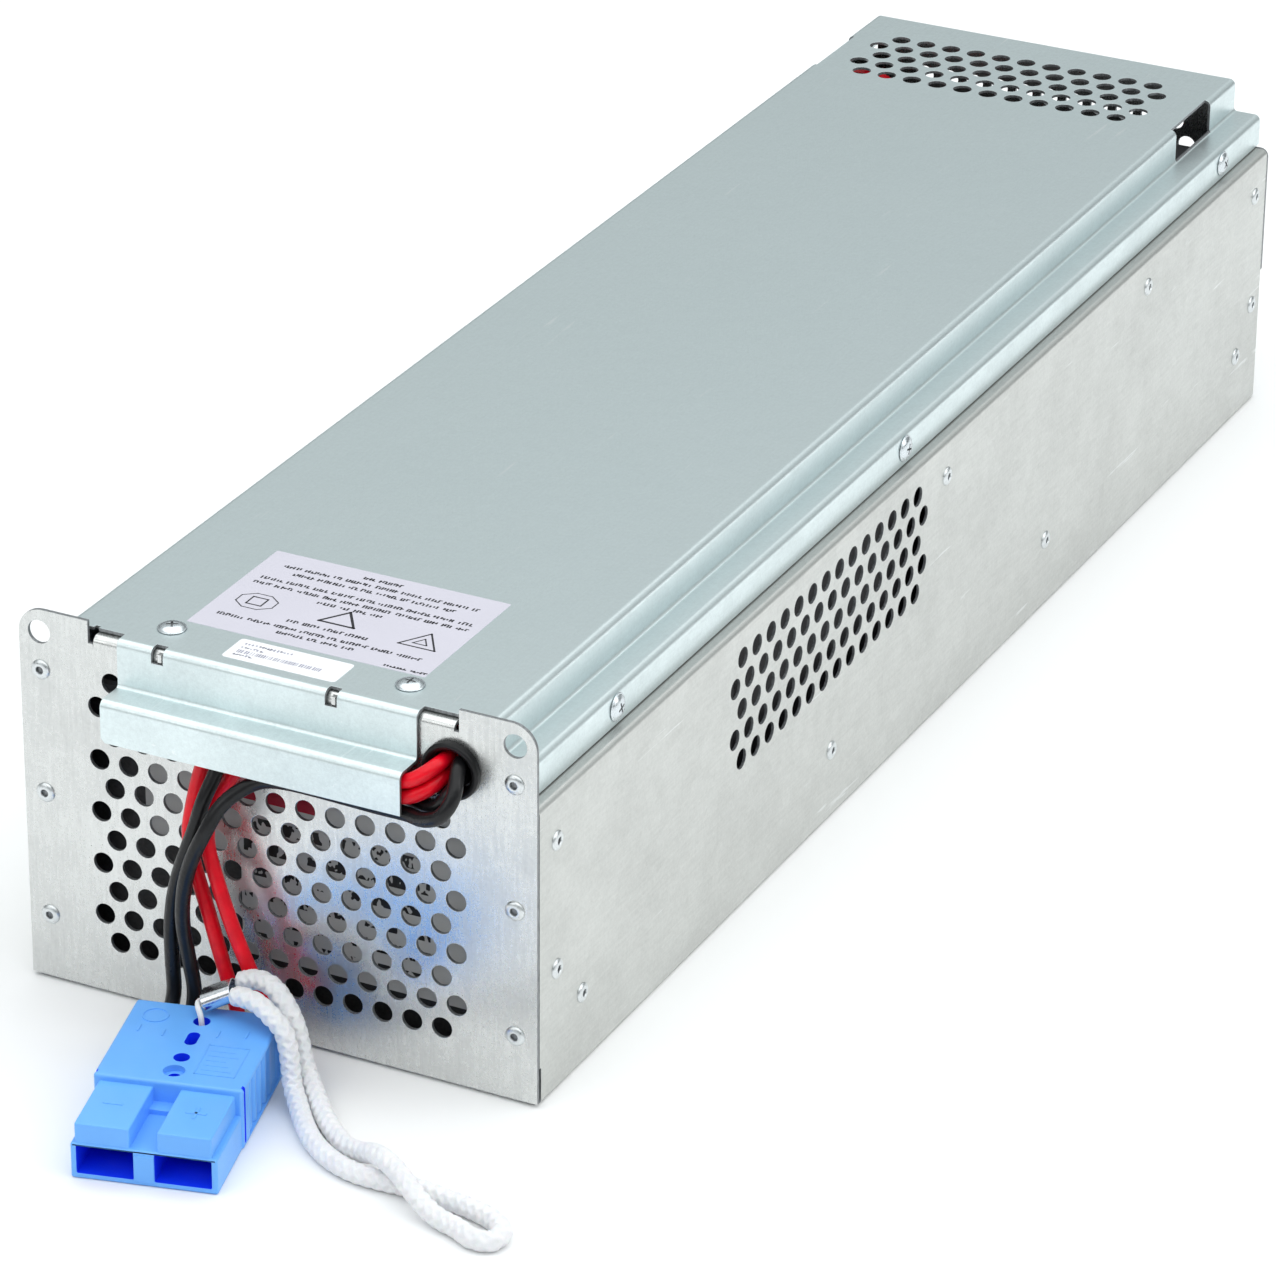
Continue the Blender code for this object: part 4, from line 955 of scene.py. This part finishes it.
# ---------------------------------------------------------------- rivets, screws, grommet
def rivet_mesh():
    """Domed hollow rivet about Z, its flange on z = 0."""
    profile = [(3.0, 0.0), (3.0, 0.25), (2.7, 0.55), (2.2, 0.82), (1.6, 0.95), (1.25, 0.9), (1.1, 0.6)]
    profile += [(1.05, 0.05), (0.0, 0.0)]
    mesh = turned(profile, 28)
    for face in mesh.polygons:
        # The bore's wall and floor take the dark sheared-edge steel (material 1): painted shade in the
        # hollow.
        face.material_index = 1 if face.center.xy.length < 1.12 and face.center.z < 0.75 else 0
    return mesh


def rivets(name, places, facing):
    """Rivets on one face; facing is the outward axis as a matrix."""
    mesh = together([moved(rivet_mesh(), Matrix.Translation(p) @ facing) for p in places])
    return piece(name, mesh, [RIVET, EDGE_AND_RECESS_SHADE], smooth=50)


TO_FRONT = Matrix.Rotation(math.pi / 2, 4, "X")
TO_BACK = Matrix.Rotation(-math.pi / 2, 4, "X")
TO_RIGHT = Matrix.Rotation(math.pi / 2, 4, "Y")
TO_LEFT = Matrix.Rotation(-math.pi / 2, 4, "Y")
SIDE_RIVETS = (
    (11.8, 79.7), (11.8, 39.2), (27.3, 23.6), (193.2, 23.6), (275.4, 81.5), (358.4, 24.4),
    (439.7, 83.2), (537.7, 80.0), (540.0, 38.5), (526.9, 23.7),
)
FRONT_RIVETS = [(side * 75.6, 0.0, z) for side in (-1, 1) for z in (100.8, 61.5, 21.7)]
rivets("front_rivets", FRONT_RIVETS, TO_FRONT)
rivets("right_rivets", [(82.5, y, z) for y, z in SIDE_RIVETS], TO_RIGHT)
rivets("left_rivets", [(-82.5, y, z) for y, z in SIDE_RIVETS], TO_LEFT)
REAR_RIVETS = [(side * 75.6, CASE_L, z) for side in (-1, 1) for z in (76.0, 48.0, 20.0)]
rivets("rear_rivets", REAR_RIVETS, TO_BACK)


def screw_mesh():
    """Pan head with a cross recess, about Z; its flange on z = 0."""
    profile = [(0.0, 1.62), (1.4, 1.58), (2.3, 1.44), (3.0, 1.18), (3.6, 0.78), (3.85, 0.52), (4.15, 0.46)]
    profile += [(4.3, 0.3), (4.2, 0.12), (1.75, 0.12), (1.75, -4.6), (0.0, -5.0)]
    head = turned(profile, 36)
    # The cross recess takes the dark sheared-edge steel (material 1): painted shade in the recess.
    cross = join(box((-1.7, -0.3, 0.8), (1.7, 0.3, 3)), box((-0.3, -1.7, 0.8), (0.3, 1.7, 3)))
    for face in cross.polygons:
        face.material_index = 1
    return soften(cut(head, cross), 0.06, 60)


def screws():
    """Two screws on the cover and three on each skirt, each turned its own way."""
    seed = screw_mesh()
    for n, x in enumerate(TOP_SCREW_X):
        place = Matrix.Translation((x, 12.6, TOP_Z)) @ Matrix.Rotation(0.5 + n, 4, "Z")
        piece(
            f"cover_screw_{n + 1}", seed.copy(), [SCREW, EDGE_AND_RECESS_SHADE],
            [f"top_screw_{n + 1}"], place=place,
        )
    for side, name, facing in ((1, "right", TO_RIGHT), (-1, "left", TO_LEFT)):
        for n, y in enumerate(SKIRT_SCREW_Y):
            place = Matrix.Translation((side * 78.2, y, 99.6)) @ facing @ Matrix.Rotation(0.3 + n, 4, "Z")
            piece(
                f"{name}_screw_{n + 1}", seed.copy(), [SCREW, EDGE_AND_RECESS_SHADE],
                [f"{name}_skirt_screw_{n + 1}"], place=place,
            )


screws()


def grommet():
    """Rubber ring with a groove for the plate."""
    bore, outer = 6.45, 8.75
    profile = [(bore + 0.9, 2.6)] + arc((outer - 1.0, 1.6), 1.0, 75, 0, 6)
    profile += [(outer, 0.1), (7.4, 0.1), (7.4, -1.4), (8.5, -1.4), (8.2, -2.9), (bore, -2.9), (bore, 1.7)]
    ring = turned(profile, 48, True)
    place = Matrix.Translation((GROMMET[0], 0, GROMMET[1])) @ TO_FRONT
    piece("grommet_ring", ring, [RUBBER], ["grommet"], smooth=50, place=place)


grommet()


# ---------------------------------------------------------------- labels
def paper(name, colour, rough):
    """Printed label stock with a faint cloud in its tone."""
    s = Shader(name, colour, rough, 0.0, Coat_Weight=0.15, Coat_Roughness=0.3)
    fibre = s.noise((1.2, 1.2, 1.2), 3.0)
    cloud = s.noise((0.06, 0.06, 0.06), 3.0)
    base = s.blend(s.remap(cloud, 0.3, 0.7, 0, 1), [c * 0.97 for c in colour], colour)
    return s.use(Base_Color=base, Normal=s.bump(fibre, 0.01, 1.0))


LABEL = paper("grey label", (0.60, 0.585, 0.66), 0.45)
WHITE_LABEL = paper("white label", (0.90, 0.90, 0.93), 0.35)
INK = moulded("label ink", (0.012, 0.012, 0.016), 0.6, 0.01, 0.2)
PALE_INK = moulded("pale label ink", (0.33, 0.33, 0.40), 0.6, 0.01, 0.2)


def rounded(x0, y0, x1, y1, r, z0, z1):
    """A flat sheet with round corners, lying between two heights."""
    points = arc((x1 - r, y1 - r), r, 0, 90, 5) + arc((x0 + r, y1 - r), r, 90, 180, 5)
    points += arc((x0 + r, y0 + r), r, 180, 270, 5) + arc((x1 - r, y0 + r), r, 270, 360, 5)
    sheet = plate(points, 0.0, z1 - z0)
    for face in sheet.polygons:
        face.material_index = 0
    return moved(sheet, Matrix.Translation((0, 0, z1)) @ Matrix.Rotation(-math.pi / 2, 4, "X"))


def strokes(lines, z):
    """Bars on a label, each (x0, y0, x1, y1)."""
    return together([box((a, b, z), (c, d, z + 0.03)) for a, b, c, d in lines])


def text_bars(rng, x0, x1, y, tall):
    """One row of word-like groups of upright ticks, with no letters in it."""
    bars = []
    x = x0
    while x < x1 - 1.0:
        word = rng.uniform(2.2, 8.5)
        end = min(x + word, x1)
        while x < end:
            low = rng.choice((0.0, 0.0, 0.25)) * tall
            high = rng.choice((1.0, 0.75, 1.0)) * tall
            bars.append((x, y + low, x + 0.55, y + high))
            if rng.random() < 0.55:
                level = y + rng.choice((0.0, 0.42, 0.84)) * tall
                bars.append((x, level, x + 1.1, level + 0.38))
            x += rng.uniform(0.75, 1.2)
        x += 1.1
    return bars


def outline_bars(points, width):
    """Straight strokes between points, as thin quads turned along each side."""
    bm = bmesh.new()
    for (ax, ay), (bx, by) in zip(points, points[1:] + points[:1]):
        run = Vector((bx - ax, by - ay, 0))
        middle = Vector(((ax + bx) / 2, (ay + by) / 2, 0))
        turn = Matrix.Rotation(math.atan2(run.y, run.x), 4, "Z")
        size = Matrix.Diagonal((run.length + width, width, 0.03, 1))
        bmesh.ops.create_cube(bm, size=1.0, matrix=Matrix.Translation(middle) @ turn @ size)
    return as_mesh(bm)


def labels():
    """Two labels on the cover, with rows of plain ticks and bare outlines for their print."""
    z = TOP_Z + 0.05
    piece("label_large", rounded(-38.4, 18.5, 37.8, 70.0, 0.4, TOP_Z, z), [LABEL])
    piece("label_small", rounded(-19.0, 4.2, 17.2, 16.3, 1.2, TOP_Z, z), [WHITE_LABEL])
    rng = random.Random(4)
    bars = []
    for y, inset, tall in ((65.0, 30, 1.5), (61.3, 6, 1.6), (57.6, 11, 1.6), (52.2, 3.5, 1.6),
                           (48.6, 3, 1.6), (45.0, 26, 1.6), (31.0, 24, 1.6), (26.6, 4, 1.5), (23.4, 25, 1.5)):
        bars += text_bars(rng, -37.5 + inset, 37 - inset, y, tall)
    bars += text_bars(rng, 24, 37, 19.6, 1.0)
    marks = [moved(strokes(bars, 0), Matrix.Translation((0, 0, z)))]
    triangle = [(-5.6, 36.0), (5.6, 36.0), (0.0, 44.4)]
    octagon = [(-27 + 6.4 * math.cos(math.pi * (k + 0.5) / 4), 38.4 + 5.0 * math.sin(math.pi * (k + 0.5) / 4))
               for k in range(8)]
    square = [(-29.4, 36.2), (-24.6, 36.2), (-24.6, 40.8), (-29.4, 40.8)]
    wedge = [(21.0, 33.8), (32.6, 33.8), (26.8, 43.0)]
    inner = [(24.6, 35.8), (29.0, 35.8), (26.8, 39.3)]
    for shape, width in ((triangle, 0.8), (octagon, 0.35), (square, 0.5), (wedge, 0.55), (inner, 0.4)):
        marks.append(moved(outline_bars(shape, width), Matrix.Translation((0, 0, z + 0.015))))
    piece("label_large_print", together(marks), [INK], smooth=20)
    small = text_bars(rng, -16.5, -9, 13.2, 1.0) + text_bars(rng, -8.5, -1.5, 13.0, 1.3)
    small += text_bars(rng, -16.5, -10, 10.9, 0.9) + text_bars(rng, -16.5, -11, 6.4, 0.9)
    x = -16.4
    while x < 10:
        wide = rng.choice((0.2, 0.35, 0.5))
        small.append((x, 8.0, x + wide, 9.9))
        x += wide + rng.choice((0.25, 0.4, 0.6))
    piece(
        "label_small_print", moved(strokes(small, 0), Matrix.Translation((0, 0, z))), [PALE_INK],
        smooth=20,
    )


labels()


# ---------------------------------------------------------------- carried-over nodes
def finish_node(node, mat):
    """Give a CAD node that is kept as it is its finished material."""
    mesh = frame["nodes"][node].data
    mesh.materials.clear()
    mesh.materials.append(mat)


for node in frame["nodes"]:
    if node.startswith("block_case"):
        finish_node(node, CASE)
    elif node.startswith("block_lid"):
        finish_node(node, LID)
    elif node.startswith("jumper") or node.startswith("inner_lead_black"):
        finish_node(node, BLACK)
    elif node.startswith("inner_lead_red"):
        finish_node(node, RED)
    elif "spacer" in node or node == "rear_pad":
        finish_node(node, FOAM)
    elif node == "floor_tray" or "stiffener" in node:
        finish_node(node, ZINC_PAINTED_SKY_TINT)


# ---------------------------------------------------------------- studio
def area(name, place, aim, size, power):
    """A rectangular soft light, aimed at a point; sizes in metres."""
    data = bpy.data.lights.new(name, "AREA")
    data.shape = "RECTANGLE"
    data.size, data.size_y = size
    data.energy = power
    lamp = bpy.data.objects.new(name, data)
    lamp.location = place
    lamp.rotation_mode = "QUATERNION"
    lamp.rotation_quaternion = (Vector(aim) - Vector(place)).to_track_quat("-Z", "Y")
    bpy.context.scene.collection.objects.link(lamp)


def studio():
    """White floor, pale sky that darkens towards the horizon, and three soft lights."""
    floor_mesh = box((-6, -6, -0.05), (6, 6, -0.0001))
    floor = bpy.data.objects.new("floor", floor_mesh)
    s = Shader("floor paper", (0.93, 0.93, 0.935), 0.8, 0.0)
    cloud = s.noise((0.002, 0.002, 0.002), 2.0)
    base = s.blend(s.remap(cloud, 0.3, 0.7, 0, 1), (0.925, 0.925, 0.93), (0.94, 0.94, 0.94))
    floor_mesh.materials.append(s.use(Base_Color=base))
    bpy.context.scene.collection.objects.link(floor)
    world = bpy.data.worlds.new("studio")
    world.use_nodes = True
    sky = world.node_tree.nodes["Background"]
    sky.inputs["Strength"].default_value = 0.85
    nodes, links = world.node_tree.nodes, world.node_tree.links
    where = nodes.new("ShaderNodeTexCoord")
    split = nodes.new("ShaderNodeSeparateXYZ")
    ramp = nodes.new("ShaderNodeValToRGB")
    links.new(where.outputs["Generated"], split.inputs[0])
    links.new(split.outputs["Z"], ramp.inputs["Fac"])
    links.new(ramp.outputs["Color"], sky.inputs["Color"])
    stops = ((0.0, 0.16), (0.22, 0.34), (0.40, 0.60), (0.62, 0.66), (1.0, 0.80))
    elements = ramp.color_ramp.elements
    for n, (place, tone) in enumerate(stops):
        stop = elements[n] if n < 2 else elements.new(place)
        stop.position = place
        stop.color = (tone * 0.93, tone, tone * 1.01, 1)
    bpy.context.scene.world = world
    area("overhead", (0.2, -0.2, 2.4), (0, 0, 0), (4.8, 4.8), 84)
    area("right", (2.2, 0.4, 1.2), (0, 0, 0.05), (1.6, 1.6), 13)
    area("front left", (-1.4, -2.2, 1.2), (0, -0.2, 0.05), (1.6, 1.2), 7)
    bpy.context.scene.view_settings.view_transform = "Standard"


studio()
